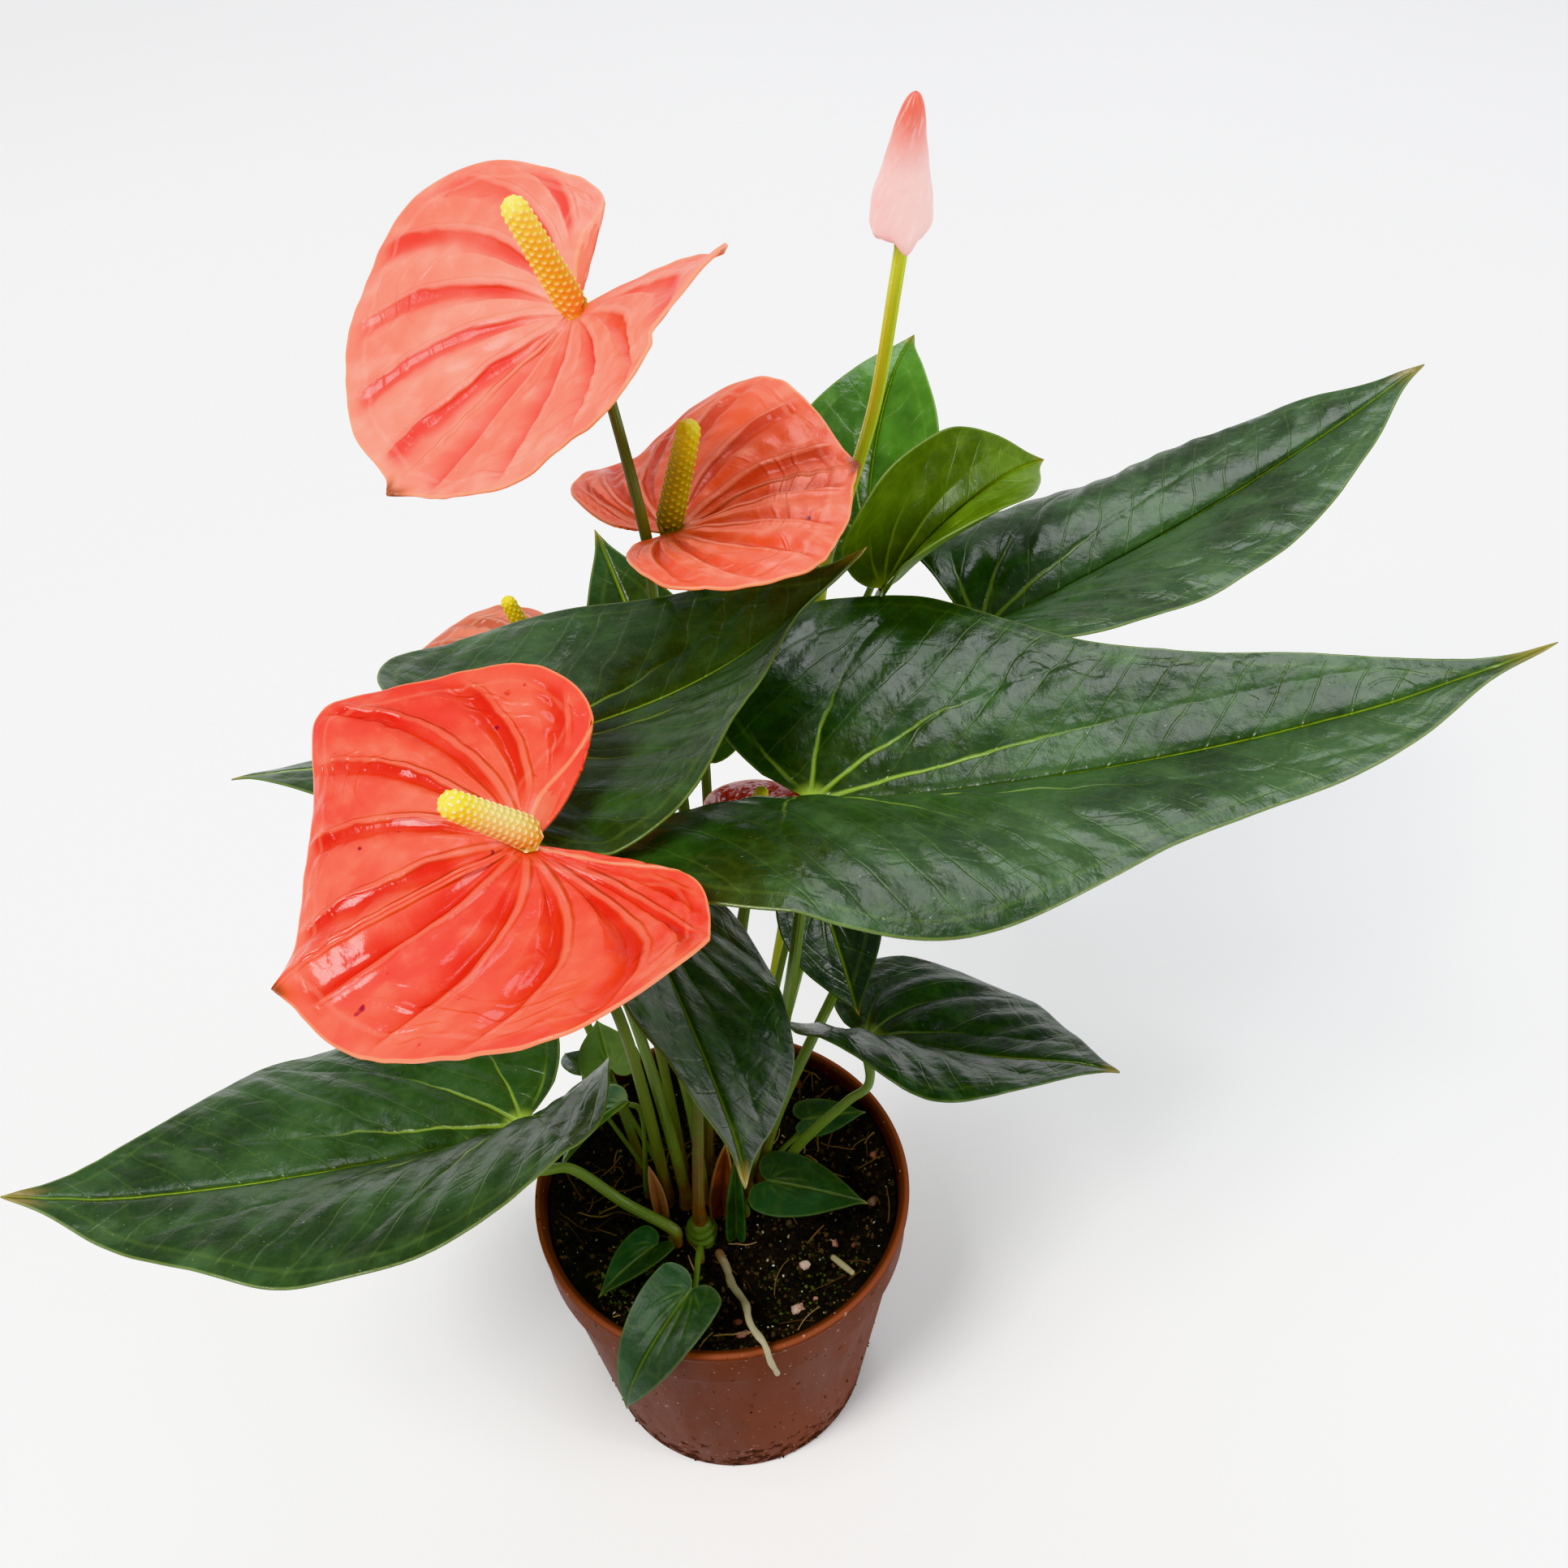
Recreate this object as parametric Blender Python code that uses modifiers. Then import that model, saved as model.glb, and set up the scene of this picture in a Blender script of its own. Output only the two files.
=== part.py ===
"""Potted anthurium: a plastic nursery pot of soil, heart-shaped leaves on stalks, five open flowers and a bud.

Every leaf and every spathe (the coloured collar of a flower) is one curved sheet. Its flat outline is a heart
drawn through a few points. The sheet is then bent along its midrib, folded across it, and turned to its own
heading. Each stalk is a tapered tube from the soil to the notch of its sheet. Lengths in the tables are in
millimetres and angles in degrees. A heading of 0 points along +X, and 90 along +Y, away from the front.
"""

import math

import bmesh
import bpy
import numpy as np

MM = 0.001

# Overall sizes
POT_HEIGHT = 108.0
RIM_RADIUS = 60.0
BASE_RADIUS = 45.0

# Pot
WALL = 1.8
LIP_STEP = 1.6
FLOOR = 2.2
COLLAR_HEIGHT = 19.0
COLLAR_STEP = 1.8
RIM_LIP = 1.2
DRAIN_COUNT = 6
DRAIN_RADIUS = 4.0
DRAIN_CIRCLE = 27.0

# Soil
SOIL_DROP = 13.0
SOIL_CLEARANCE = 0.4
SOIL_BUMP = 1.5
SOIL_BANK = 8.0
FLAT_SOIL_RADIUS = 36.0

# Plant
LEAF_THICK = 0.8
SPATHE_THICK = 0.9
STALK_GAP = 0.4
SEAT_GAP = 0.35
UPRIGHT_FOOT = 2.0
FOOT_FLARE = 1.2
KNEE = 1.35
SPIKE_SHAPE = (0.75, 0.95, 1.0, 1.0, 0.97, 0.92, 0.82, 0.60, 0.15)

SOIL_TOP = POT_HEIGHT - SOIL_DROP

# Half outline of a sheet, as (fraction of the length or of the lobe, fraction of the half width)
LEAF_LOBE = ((-0.50, 0.12), (-0.97, 0.42), (-0.55, 0.86))
LEAF_SIDE = ((0.14, 1.0), (0.45, 0.82), (0.74, 0.40), (0.91, 0.10))
SPATHE_LOBE = ((-0.60, 0.12), (-1.00, 0.45), (-0.55, 0.90))
SPATHE_SIDE = ((0.22, 1.0), (0.56, 0.78), (0.84, 0.40), (0.955, 0.08))
TOP_LEFT = (
    ((-0.55, 0.19), (-0.90, 0.50), (-0.58, 0.95)),
    ((0.36, 1.08), (0.61, 0.75), (0.90, 0.38), (0.955, 0.06)),
)
TOP_RIGHT = (
    ((-0.50, 0.19), (-1.00, 0.33), (-0.60, 0.83)),
    ((0.17, 1.0), (0.56, 0.75), (0.85, 0.38), (0.95, 0.06)),
)
FRONT_LEFT = (
    ((-0.55, 0.20), (-1.20, 0.52), (-0.55, 0.78)),
    ((0.36, 1.0), (0.57, 0.78), (0.86, 0.35), (0.955, 0.10)),
)
FRONT_RIGHT = (
    ((-0.30, 0.13), (-0.97, 0.28), (-0.92, 0.66)),
    ((0.15, 1.04), (0.55, 0.75), (0.81, 0.38), (0.91, 0.09)),
)
SCALE_LOBE = ((-1.0, 0.30), (-0.60, 0.80))
SCALE_SIDE = ((0.25, 1.0), (0.55, 0.80), (0.80, 0.42))

# Where the notch of each sheet is (height above the soil's flat), how it is turned, and how it is bent.
# size = length from notch to tip, half width, lobe length behind the notch
# turn = heading, pitch up, roll (raises the left side)
# bend = droop, sway to the left, twist, S bend, lobe lift
# fold = angle of both halves at the notch, the same at the tip, curl of each half, and extra curl of the left
# lean = share by which the left half is wider, the same for its lobe, fullness towards the tip
# halves = its own outlines of the left and the right half, where the usual one does not do
SHEETS = {
    "leaf_right": {
        "kind": "leaf", "colour": "leaf", "at": (33, 29, 155), "size": (208, 81, 46), "turn": (-8, 2, -19),
        "bend": (-22, 10, 19, 2, -16), "fold": (36, 9, -38, 16), "lean": (-0.03, -0.42, -0.33),
    },
    "leaf_middle": {
        "kind": "leaf", "colour": "leaf", "at": (-42, 44, 174), "size": (114, 66, 30), "turn": (20, -8, -9),
        "bend": (-50, -4, -14, -1, 28), "fold": (4, 30, -7, -7), "lean": (0.02, 0.08, -0.16),
    },
    "leaf_back_right": {
        "kind": "leaf", "colour": "leaf", "at": (98, 113, 137), "size": (182, 65, 6), "turn": (19, 9, -8),
        "bend": (-8, 8, 0, 0, 16), "fold": (45, 5, -64, -23), "lean": (0.13, 0.0, 0.0),
    },
    "leaf_left": {
        "kind": "leaf", "colour": "leaf", "at": (-58, -2, 61), "size": (145, 68, 35), "turn": (200, 3, 31),
        "bend": (-29, -7, -16, 4, 41), "fold": (32, 4, -33, -3), "lean": (0.0, 0.07, 0.10),
    },
    "leaf_hanging": {
        "kind": "leaf", "colour": "leaf", "at": (-18, 25, 126), "size": (115, 43, 22),
        "turn": (286, 7, -48),
        "bend": (1, -10, 3, 0, 9), "fold": (12, 6, -3, -5), "lean": (0.04, 0.0, 0.0), "grid": "medium",
    },
    "leaf_front_right": {
        "kind": "leaf", "colour": "leaf", "at": (49, 17, 59), "size": (80, 45, 17), "turn": (338, 13, -33),
        "bend": (5, -6, 5, -6, 2), "fold": (33, 1, -27, 1), "lean": (0.0, 0.0, 0.19), "grid": "medium",
    },
    "leaf_young": {
        "kind": "leaf", "colour": "young", "at": (67.5, 113, 159), "size": (85, 33, 6),
        "turn": (40, 22, 12),
        "bend": (46, -6, 14, 0, -3), "fold": (59, 17, 29, 3), "lean": (0.04, 0.0, 0.0), "grid": "medium",
    },
    "leaf_upright": {
        "kind": "leaf", "colour": "leaf", "at": (69, 155, 144), "size": (81, 32, 10), "turn": (80, 46, -22),
        "bend": (46, -6, 1, 0, 10), "fold": (18, 10, 6, 1), "lean": (0.06, 0.0, 0.0), "grid": "medium",
    },
    "leaf_inner_right": {
        "kind": "leaf", "colour": "leaf", "at": (38, 36, 108), "size": (40, 17, 8), "turn": (290, -50, 0),
        "bend": (5, 0, 0, 0, 10), "fold": (15, 5, -5, 0), "lean": (0.0, 0.0, 0.0), "grid": "small",
    },
    "leaf_back_left": {
        "kind": "leaf", "colour": "leaf", "at": (-75, 100, 113), "size": (66, 28, 16), "turn": (176, 6, 20),
        "bend": (12, 1, 12, 0, 10), "fold": (4, 2, -25, 0), "lean": (0.0, 0.0, 0.0), "grid": "small",
    },
    "leaf_back_middle": {
        "kind": "leaf", "colour": "leaf", "at": (-1, 117, 97), "size": (76, 26, 12), "turn": (110, 50, 0),
        "bend": (20, 0, 0, 0, 10), "fold": (15, 8, -5, 0), "lean": (0.0, 0.0, 0.0), "grid": "small",
    },
    "leaflet_right": {
        "kind": "leaf", "colour": "leaf", "at": (14, -5, 20), "size": (33, 12.5, 4), "turn": (339, 3, -5),
        "bend": (13, 3, 1, 0, 11), "fold": (7, 3, -13, 0), "lean": (0.0, 0.0, 0.0), "grid": "small",
    },
    "leaflet_over_rim": {
        "kind": "leaf", "colour": "leaf", "at": (-12, 17, 13), "size": (48, 12, 4), "turn": (227, -8, -5),
        "bend": (85, -3, 0, 0, 16), "fold": (16, 5, -2, 1), "lean": (0.0, 0.0, 0.0), "grid": "small",
        "over_rim": True,
    },
    "leaflet_left": {
        "kind": "leaf", "colour": "leaf", "at": (-22, -16, 8), "size": (26, 8, 3), "turn": (220, 14, 8),
        "bend": (24, 0, 1, 0, 10), "fold": (26, 6, -4, 0), "lean": (0.0, 0.0, 0.0), "grid": "small",
    },
    "leaflet_inner": {
        "kind": "leaf", "colour": "leaf", "at": (28, 16, 20), "size": (21, 7, 3), "turn": (2, 3, 5),
        "bend": (16, 2, 1, 0, 10), "fold": (9, 4, -9, 0), "lean": (0.0, 0.0, 0.0), "grid": "small",
    },
    "leaflet_light": {
        "kind": "leaf", "colour": "young", "at": (-31, 24, 48), "size": (18, 10, 4), "turn": (102, 16, 5),
        "bend": (11, -2, 1, 0, 10), "fold": (12, 5, -6, 0), "lean": (0.0, 0.0, 0.0), "grid": "small",
    },
    "leaflet_grey": {
        "kind": "leaf", "colour": "leaf", "at": (-40, 26, 46), "size": (13, 6, 3), "turn": (120, -10, 5),
        "bend": (20, 0, 0, 0, 10), "fold": (30, 15, 0, 0), "lean": (0.0, 0.0, 0.0), "grid": "small",
    },
    "leaflet_folded": {
        "kind": "leaf", "colour": "leaf", "at": (-27, 14, 43), "size": (36, 9, 3), "turn": (190, -38, 0),
        "bend": (20, 0, 20, 0, 0), "fold": (55, 40, 10, 0), "lean": (0.0, 0.0, 0.0), "grid": "small",
    },
    "leaflet_narrow": {
        "kind": "leaf", "colour": "leaf", "at": (3, -13, 3), "size": (32, 4, 2), "turn": (80, 72, 0),
        "bend": (8, 0, 10, 0, 0), "fold": (40, 30, 0, 0), "lean": (0.0, 0.0, 0.0), "grid": "small",
    },
    "sheath_red": {
        "kind": "scale", "colour": "sheath", "at": (-0.5, -4.0, 1.2), "size": (31, 5.3, 1),
        "turn": (68, 78, 0),
        "bend": (4, 0, 10, 0, 0), "fold": (38, 16, 25, 0), "lean": (0.0, 0.0, 0.0), "grid": "small",
    },
    "sheath_tan": {
        "kind": "scale", "colour": "sheath", "at": (-20.5, -2.5, 1.2), "size": (22, 3.4, 1),
        "turn": (108, 76, 0),
        "bend": (8, 0, 5, 0, 0), "fold": (45, 20, 20, 0), "lean": (0.0, 0.0, 0.0), "grid": "small",
    },
    "spathe_top": {
        "kind": "spathe", "colour": "petal", "at": (-14, 81, 283), "size": (66, 70, 25),
        "turn": (214, -34, 3),
        "bend": (-31, 8, -1, 6, -31), "fold": (17, 7, 2, 21), "lean": (0.0, -0.09, 0.0), "grid": "spathe",
        "halves": (TOP_LEFT, TOP_RIGHT),
    },
    "spathe_back": {
        "kind": "spathe", "colour": "petal", "at": (4, 66, 224), "size": (53, 57, 20), "turn": (10, 7, -16),
        "bend": (-9, -8, 20, 11, 22), "fold": (12, 14, -16, -6), "lean": (0.01, 0.19, 0.18),
        "grid": "spathe",
    },
    "spathe_front": {
        "kind": "spathe", "colour": "petal", "at": (-39, -16, 198), "size": (70, 70, 30),
        "turn": (223, 17, -14),
        "bend": (60, -23, 8, -3, 28), "fold": (-2, -13, 19, 35), "lean": (-0.01, -0.35, 0.0),
        "grid": "spathe",
        "halves": (FRONT_LEFT, FRONT_RIGHT),
    },
    "spathe_left": {
        "kind": "spathe", "colour": "petal", "at": (-42, 131, 124), "size": (52, 46, 18),
        "turn": (197, 15, 32),
        "bend": (16, -2, 3, 0, 4), "fold": (22, 3, 4, 2), "lean": (0.0, 0.0, 0.0), "grid": "spathe",
    },
    "spathe_shaded": {
        "kind": "spathe", "colour": "petal", "at": (17, 54, 116), "size": (33, 20, 10), "turn": (15, 2, 0),
        "bend": (10, 0, 0, 0, 10), "fold": (10, 5, 0, 0), "lean": (0.0, 0.0, 0.0), "grid": "spathe",
    },
}

# Each stalk: the sheet it carries, where it stands on the soil, and its radii at the soil and at the top.
# way = points it passes, above the soil's flat
# arrive = direction at its end; without it, square to the sheet
# back = length of the straight end; count = number of points along it
STALKS = {
    "stalk_right": {
        "sheet": "leaf_right", "base": (8, 4), "radii": (2.2, 1.6), "way": ((18, 5, 55), (28, 17, 105)),
    },
    "stalk_middle": {
        "sheet": "leaf_middle", "base": (-12, 2), "radii": (2.0, 1.5), "way": ((-22, 22, 78),),
    },
    "stalk_back_right": {
        "sheet": "leaf_back_right", "base": (13, 7), "radii": (2.0, 1.5),
        "way": ((20, 13, 30), (45, 36, 70)),
    },
    "stalk_left": {
        "sheet": "leaf_left", "base": (-16.5, -11.5), "radii": (2.0, 1.5),
        "way": ((-31, -5, 16), (-46, -3, 36)),
    },
    "stalk_hanging": {
        "sheet": "leaf_hanging", "base": (-6, 3), "radii": (1.7, 1.3), "way": ((-10, 15, 60),),
    },
    "stalk_front_right": {
        "sheet": "leaf_front_right", "base": (19, 4), "radii": (1.9, 1.4),
        "way": ((25, 7, 18), (42, 8, 40)),
    },
    "stalk_young": {
        "sheet": "leaf_young", "base": (11, 15), "radii": (1.6, 1.2), "way": ((44, 70, 85),),
        "arrive": (0.1, -0.5, 1.0),
    },
    "stalk_upright": {
        "sheet": "leaf_upright", "base": (4, 21), "radii": (1.6, 1.2), "way": ((22, 80, 80),),
    },
    "stalk_inner_right": {
        "sheet": "leaf_inner_right", "base": (9, 10), "radii": (1.4, 1.0), "way": ((20, 28, 60),),
    },
    "stalk_back_left": {
        "sheet": "leaf_back_left", "base": (-26, 17), "radii": (1.6, 1.2), "way": ((-42, 50, 55),),
    },
    "stalk_back_middle": {
        "sheet": "leaf_back_middle", "base": (-3, 17), "radii": (1.6, 1.2), "way": ((-5, 60, 40),),
    },
    "stalk_leaflet_right": {
        "sheet": "leaflet_right", "base": (7, -4), "radii": (1.0, 0.7), "count": 8, "back": 5.0,
    },
    "stalk_leaflet_over_rim": {
        "sheet": "leaflet_over_rim", "base": (-9, -19), "radii": (1.1, 0.8), "count": 9, "back": 6.0,
    },
    "stalk_leaflet_inner": {
        "sheet": "leaflet_inner", "base": (19, 12), "radii": (0.9, 0.7), "count": 8, "back": 5.0,
    },
    "stalk_leaflet_light": {"sheet": "leaflet_light", "base": (-19, 10), "radii": (0.9, 0.7), "back": 6.0},
    "stalk_leaflet_grey": {"sheet": "leaflet_grey", "base": (-24, 11), "radii": (0.8, 0.6), "back": 5.0},
    "stalk_leaflet_folded": {
        "sheet": "leaflet_folded", "base": (-24.5, 7), "radii": (0.9, 0.7), "back": 5.0,
    },
    "flower_stalk_top": {
        "sheet": "spathe_top", "base": "crown", "radii": (2.0, 1.5), "count": 15,
        "arrive": (-0.2, -0.15, 1.0),
        "way": ((-5, 8, 48), (0, 54, 108), (-3, 114, 164), (-3, 62.5, 227), (-7, 73, 252)),
    },
    "flower_stalk_back": {
        "sheet": "spathe_back", "base": (-4, 10), "radii": (1.8, 1.4), "count": 14,
        "arrive": (0.0, -0.5, 1.0),
        "way": ((6, 62, 90), (9, 117, 162)),
    },
    "flower_stalk_front": {
        "sheet": "spathe_front", "base": (-18, 4), "radii": (2.0, 1.6), "way": ((-26, 10, 98),),
    },
    "flower_stalk_left": {
        "sheet": "spathe_left", "base": (-12, 13), "radii": (1.7, 1.3), "way": ((-20, 50, 70),),
    },
    "flower_stalk_shaded": {
        "sheet": "spathe_shaded", "base": (5, 15.5), "radii": (1.6, 1.2), "way": ((8, 36, 60),),
    },
}

# Each spike: its direction, length and radius
SPIKES = {
    "spike_top": {"sheet": "spathe_top", "direction": (-0.30, -0.25, 0.92), "length": 36, "radius": 3.7},
    "spike_back": {"sheet": "spathe_back", "direction": (0.22, -0.10, 0.97), "length": 34, "radius": 3.5},
    "spike_front": {
        "sheet": "spathe_front", "direction": (-0.48, -0.38, 0.79), "length": 33, "radius": 3.9,
    },
    "spike_left": {"sheet": "spathe_left", "direction": (-0.30, 0.10, 0.95), "length": 26, "radius": 2.8},
    "spike_shaded": {
        "sheet": "spathe_shaded", "direction": (0.30, -0.10, 0.95), "length": 22, "radius": 2.4,
    },
}

OUTLINES = {
    "leaf": (LEAF_LOBE, LEAF_SIDE),
    "spathe": (SPATHE_LOBE, SPATHE_SIDE),
    "scale": (SCALE_LOBE, SCALE_SIDE),
}

# Rows of ribs and columns each side of the midrib
GRIDS = {"large": (13, 3), "medium": (11, 3), "small": (8, 2), "spathe": (12, 4)}

CROWN = (-8.0, -10.0)
CROWN_RADIUS = 5.0
CROWN_HEIGHT = 9.0
AERIAL_ROOT_RADIUS = 1.6

# Cut end of an old stalk: its foot above the soil's flat, the run to its top, and its radius
STUB_FOOT = (32.5, -26.0, 5.0)
STUB_RUN = (5.0, -8.0, 3.5)
STUB_RADIUS = 1.3

# Closed flower: foot, length, sideways lean of its tip, radius and stalk
BUD_BASE = (62, 55, 308)
BUD_LENGTH = 40
BUD_LEAN = (1, -9, 0)
BUD_RADIUS = 7.4
BUD_STALK_BASE = (10, 21)
BUD_STALK_RADII = (2.1, 1.7)
BUD_STALK_WAY = ((35, 72, 95), (49, 114, 163), (54, 98, 203), (60, 83, 245))
BUD_STALK_ARRIVES = (0.05, -0.35, 1.0)


# ---- shapes ----


def spline(points, count):
    """Smooth curve through the points, one tangent per point from its neighbours, at count even steps."""
    p = np.asarray(points, float)
    knots = np.concatenate([[0.0], np.cumsum(np.sqrt(np.linalg.norm(np.diff(p, axis=0), axis=1)))])
    slope = np.gradient(p, knots, axis=0)
    at = np.linspace(0.0, knots[-1], count)
    i = np.clip(np.searchsorted(knots, at, side="right") - 1, 0, len(knots) - 2)
    step = (knots[i + 1] - knots[i])[:, None]
    t = (at - knots[i])[:, None] / step
    return (
        (2 * t**3 - 3 * t**2 + 1) * p[i]
        + (t**3 - 2 * t**2 + t) * step * slope[i]
        + (3 * t**2 - 2 * t**3) * p[i + 1]
        + (t**3 - t**2) * step * slope[i + 1]
    )


def half_outline(spec, side):
    """Edge of one half, from the notch round the lobe to the tip, with the shares of its length at each point, at
    the widest one and at the first one."""
    length, width, lobe = spec["size"]
    skew, lobe_skew, full = spec["lean"]
    width = width * (1 + side * skew)
    lobe = lobe * (1 + side * lobe_skew)
    lobe_points, side_points = OUTLINES[spec["kind"]]
    if "halves" in spec:
        lobe_points, side_points = spec["halves"][0 if side > 0 else 1]
    points = [(0.0, 0.0)]
    points += [(x * lobe, y * width) for x, y in lobe_points]
    points += [
        (x * length, y * width * (1 + full * (x > 0.3) * (1.6 if x > 0.9 else 1.0))) for x, y in side_points
    ]
    points.append((length, 0.0))
    edge = spline(points, 160)
    run = np.concatenate([[0.0], np.cumsum(np.linalg.norm(np.diff(edge, axis=0), axis=1))])
    widest = run[np.argmax(edge[:, 1])] / run[-1]
    first = run[np.argmin(np.abs(edge[:40, 0] - points[1][0]))] / run[-1]
    return edge * (1, side), run / run[-1], widest, first


def flat_sheet(spec, rows, half_columns):
    """Grid over the flat sheet. Each row is a rib from the midrib to the edge, on both sides."""
    length = spec["size"][0]
    halves = []
    for side in (1, -1):
        edge, share, widest, first = half_outline(spec, side)
        u = np.linspace(first, 1.0, rows)
        tip = np.stack([np.interp(u, share, edge[:, 0]), np.interp(u, share, edge[:, 1])], -1)
        root = length * np.clip((u - widest) / (1 - widest), 0, 1) ** 1.2
        root = np.stack([root, 0 * root], -1)
        f = np.linspace(0, 1, half_columns + 1)[None, :, None]
        halves.append(root[:, None] * (1 - f) + tip[:, None] * f)
    middle = (halves[0][:, :1] + halves[1][:, :1]) / 2
    return np.concatenate([halves[1][:, :0:-1], middle, halves[0][:, 1:]], axis=1)


def axes_of(turn):
    """Directions of the midrib, of the left side and of the upper face."""
    heading, pitch, roll = np.radians(turn)
    ahead = np.array(
        [math.cos(pitch) * math.cos(heading), math.cos(pitch) * math.sin(heading), math.sin(pitch)]
    )
    left = np.array([-math.sin(heading), math.cos(heading), 0.0])
    up = np.cross(ahead, left)
    tilted_left = left * math.cos(roll) + up * math.sin(roll)
    tilted_up = up * math.cos(roll) - left * math.sin(roll)
    return np.stack([ahead, tilted_left, tilted_up])


def midrib_angles(x, spec):
    """Climb, sideways swing and twist of the midrib at distance x from the notch."""
    length, _, lobe = spec["size"]
    droop, sway, twist, s_bend, lobe_lift = np.radians(spec["bend"])
    q = np.clip(x / length, 0, 1)
    climb = np.where(x >= 0, s_bend * np.sin(2 * np.pi * q) - droop * q**1.3, lobe_lift * x / lobe)
    return climb, sway * q, twist * q


def bent(flat, spec):
    """The flat points carried onto the bent, folded and turned sheet."""
    length, width, lobe = spec["size"]
    fold, tip_fold, curl, left_curl = spec["fold"]
    x, y = flat[..., 0], flat[..., 1]
    run = np.linspace(-1.6 * lobe, 1.02 * length, 181)
    climb, swing, _ = midrib_angles(run, spec)
    along = np.stack([np.cos(climb) * np.cos(swing), np.cos(climb) * np.sin(swing), np.sin(climb)], -1)
    steps = (along[1:] + along[:-1]) / 2 * np.diff(run)[:, None]
    spine = np.concatenate([np.zeros((1, 3)), np.cumsum(steps, axis=0)])
    spine = spine - [np.interp(0.0, run, spine[:, k]) for k in range(3)]
    centre = np.stack([np.interp(x, run, spine[:, k]) for k in range(3)], -1)
    climb, swing, turn = midrib_angles(x, spec)
    along = np.stack([np.cos(climb) * np.cos(swing), np.cos(climb) * np.sin(swing), np.sin(climb)], -1)
    left = np.stack([-np.sin(swing), np.cos(swing), 0 * swing], -1)
    up = np.cross(along, left)
    cosine, sine = np.cos(turn)[..., None], np.sin(turn)[..., None]
    left, up = left * cosine + up * sine, up * cosine - left * sine
    q = np.clip(x / length, 0, 1)
    start = np.radians(fold + (tip_fold - fold) * q)
    bend = np.radians(np.where(y > 0, curl + left_curl, curl - left_curl))
    bend = np.where(np.abs(bend) < 1e-3, 1e-3, bend)
    end = start + bend * np.abs(y) / width
    across = width * (np.sin(end) - np.sin(start)) / bend * np.sign(y)
    rise = width * (np.cos(start) - np.cos(end)) / bend
    local = centre + left * across[..., None] + up * rise[..., None]
    return place_of(spec) + local @ axes_of(spec["turn"])


def place_of(spec):
    """The notch of a sheet, from the soil's flat or, for a sheet that hangs over the pot, from the rim."""
    x, y, z = spec["at"]
    if spec.get("over_rim"):
        return np.array([x, y - RIM_RADIUS, z + POT_HEIGHT])
    return np.array([x, y, z + SOIL_TOP])


def outer_radius(height):
    """Outside of the pot's body at a height, below the collar's step."""
    top = RIM_RADIUS - RIM_LIP - COLLAR_STEP
    return BASE_RADIUS + (top - BASE_RADIUS) * height / (POT_HEIGHT - COLLAR_HEIGHT)


def inner_radius(height):
    """Inside of the pot at a height."""
    return outer_radius(height) - WALL


def soil_top():
    """Radii and heights of the soil's top, from the edge of its flat to the wall."""
    edge = RIM_RADIUS - WALL - LIP_STEP - 2 * SOIL_CLEARANCE
    radii = FLAT_SOIL_RADIUS + (edge - FLAT_SOIL_RADIUS) * np.array([0.0, 0.25, 0.5, 0.75, 1.0])
    banked = np.array([0.0, 0.0, 0.25, 0.7, 1.0])
    ditch = np.array([0.0, 1.0, 0.4, 0.0, 0.0])
    return radii, SOIL_TOP + SOIL_BANK * banked - SOIL_BUMP * ditch


def stalk_path(base, way, end, direction, back, count):
    """Smooth path that leaves the soil upright and reaches its end along the given direction."""
    start = np.array([base[0], base[1], SOIL_TOP + SEAT_GAP])
    if len(base) == 3:
        start[2] += base[2]
    rise = start + (0.0, 0.0, UPRIGHT_FOOT)
    points = [rise, rise + (0.0, 0.0, 5.0)]
    points += [np.array(p, float) + (0.0, 0.0, SOIL_TOP) for p in way]
    points += [end - direction * back, end]
    return np.concatenate([[start], spline(points, count - 1)])


def unit(vector):
    """The vector at length 1."""
    vector = np.array(vector, float)
    return vector / np.linalg.norm(vector)


# ---- objects ----

for old in list(bpy.data.objects):
    bpy.data.objects.remove(old)
plant = bpy.data.collections.new("potted_anthurium")
bpy.context.scene.collection.children.link(plant)
cutters = bpy.data.collections.new("cutters")
bpy.context.scene.collection.children.link(cutters)


def material(name, colour, roughness):
    made = bpy.data.materials.new(name)
    made.use_nodes = True
    shader = made.node_tree.nodes["Principled BSDF"]
    shader.inputs["Base Color"].default_value = (*colour, 1.0)
    shader.inputs["Roughness"].default_value = roughness
    return made


COLOURS = {
    "terracotta": material("terracotta", (0.30, 0.10, 0.055), 0.45),
    "soil": material("soil", (0.035, 0.025, 0.02), 0.95),
    "leaf": material("leaf", (0.03, 0.11, 0.035), 0.35),
    "young": material("young", (0.12, 0.24, 0.03), 0.35),
    "petal": material("petal", (0.80, 0.07, 0.03), 0.3),
    "spike": material("spike", (0.78, 0.52, 0.10), 0.6),
    "stalk": material("stalk", (0.20, 0.28, 0.06), 0.5),
    "bud": material("bud", (0.85, 0.45, 0.38), 0.4),
    "sheath": material("sheath", (0.22, 0.09, 0.045), 0.7),
    "root": material("root", (0.42, 0.36, 0.30), 0.8),
}


def link(name, data, colour):
    """A new object in the plant's collection."""
    data.materials.append(COLOURS[colour])
    made = bpy.data.objects.new(name, data)
    plant.objects.link(made)
    return made


def add_tube(name, path, radii, colour, smoothness=1):
    """Rod of changing radius along a path, as a bevelled curve with closed ends."""
    curve = bpy.data.curves.new(name, "CURVE")
    curve.dimensions = "3D"
    curve.bevel_depth = MM
    curve.bevel_resolution = smoothness
    curve.use_fill_caps = True
    line = curve.splines.new("POLY")
    line.points.add(len(path) - 1)
    for point, place, radius in zip(line.points, path, radii):
        point.co = (*(place * MM), 1.0)
        point.radius = radius
    return link(name, curve, colour)


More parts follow.
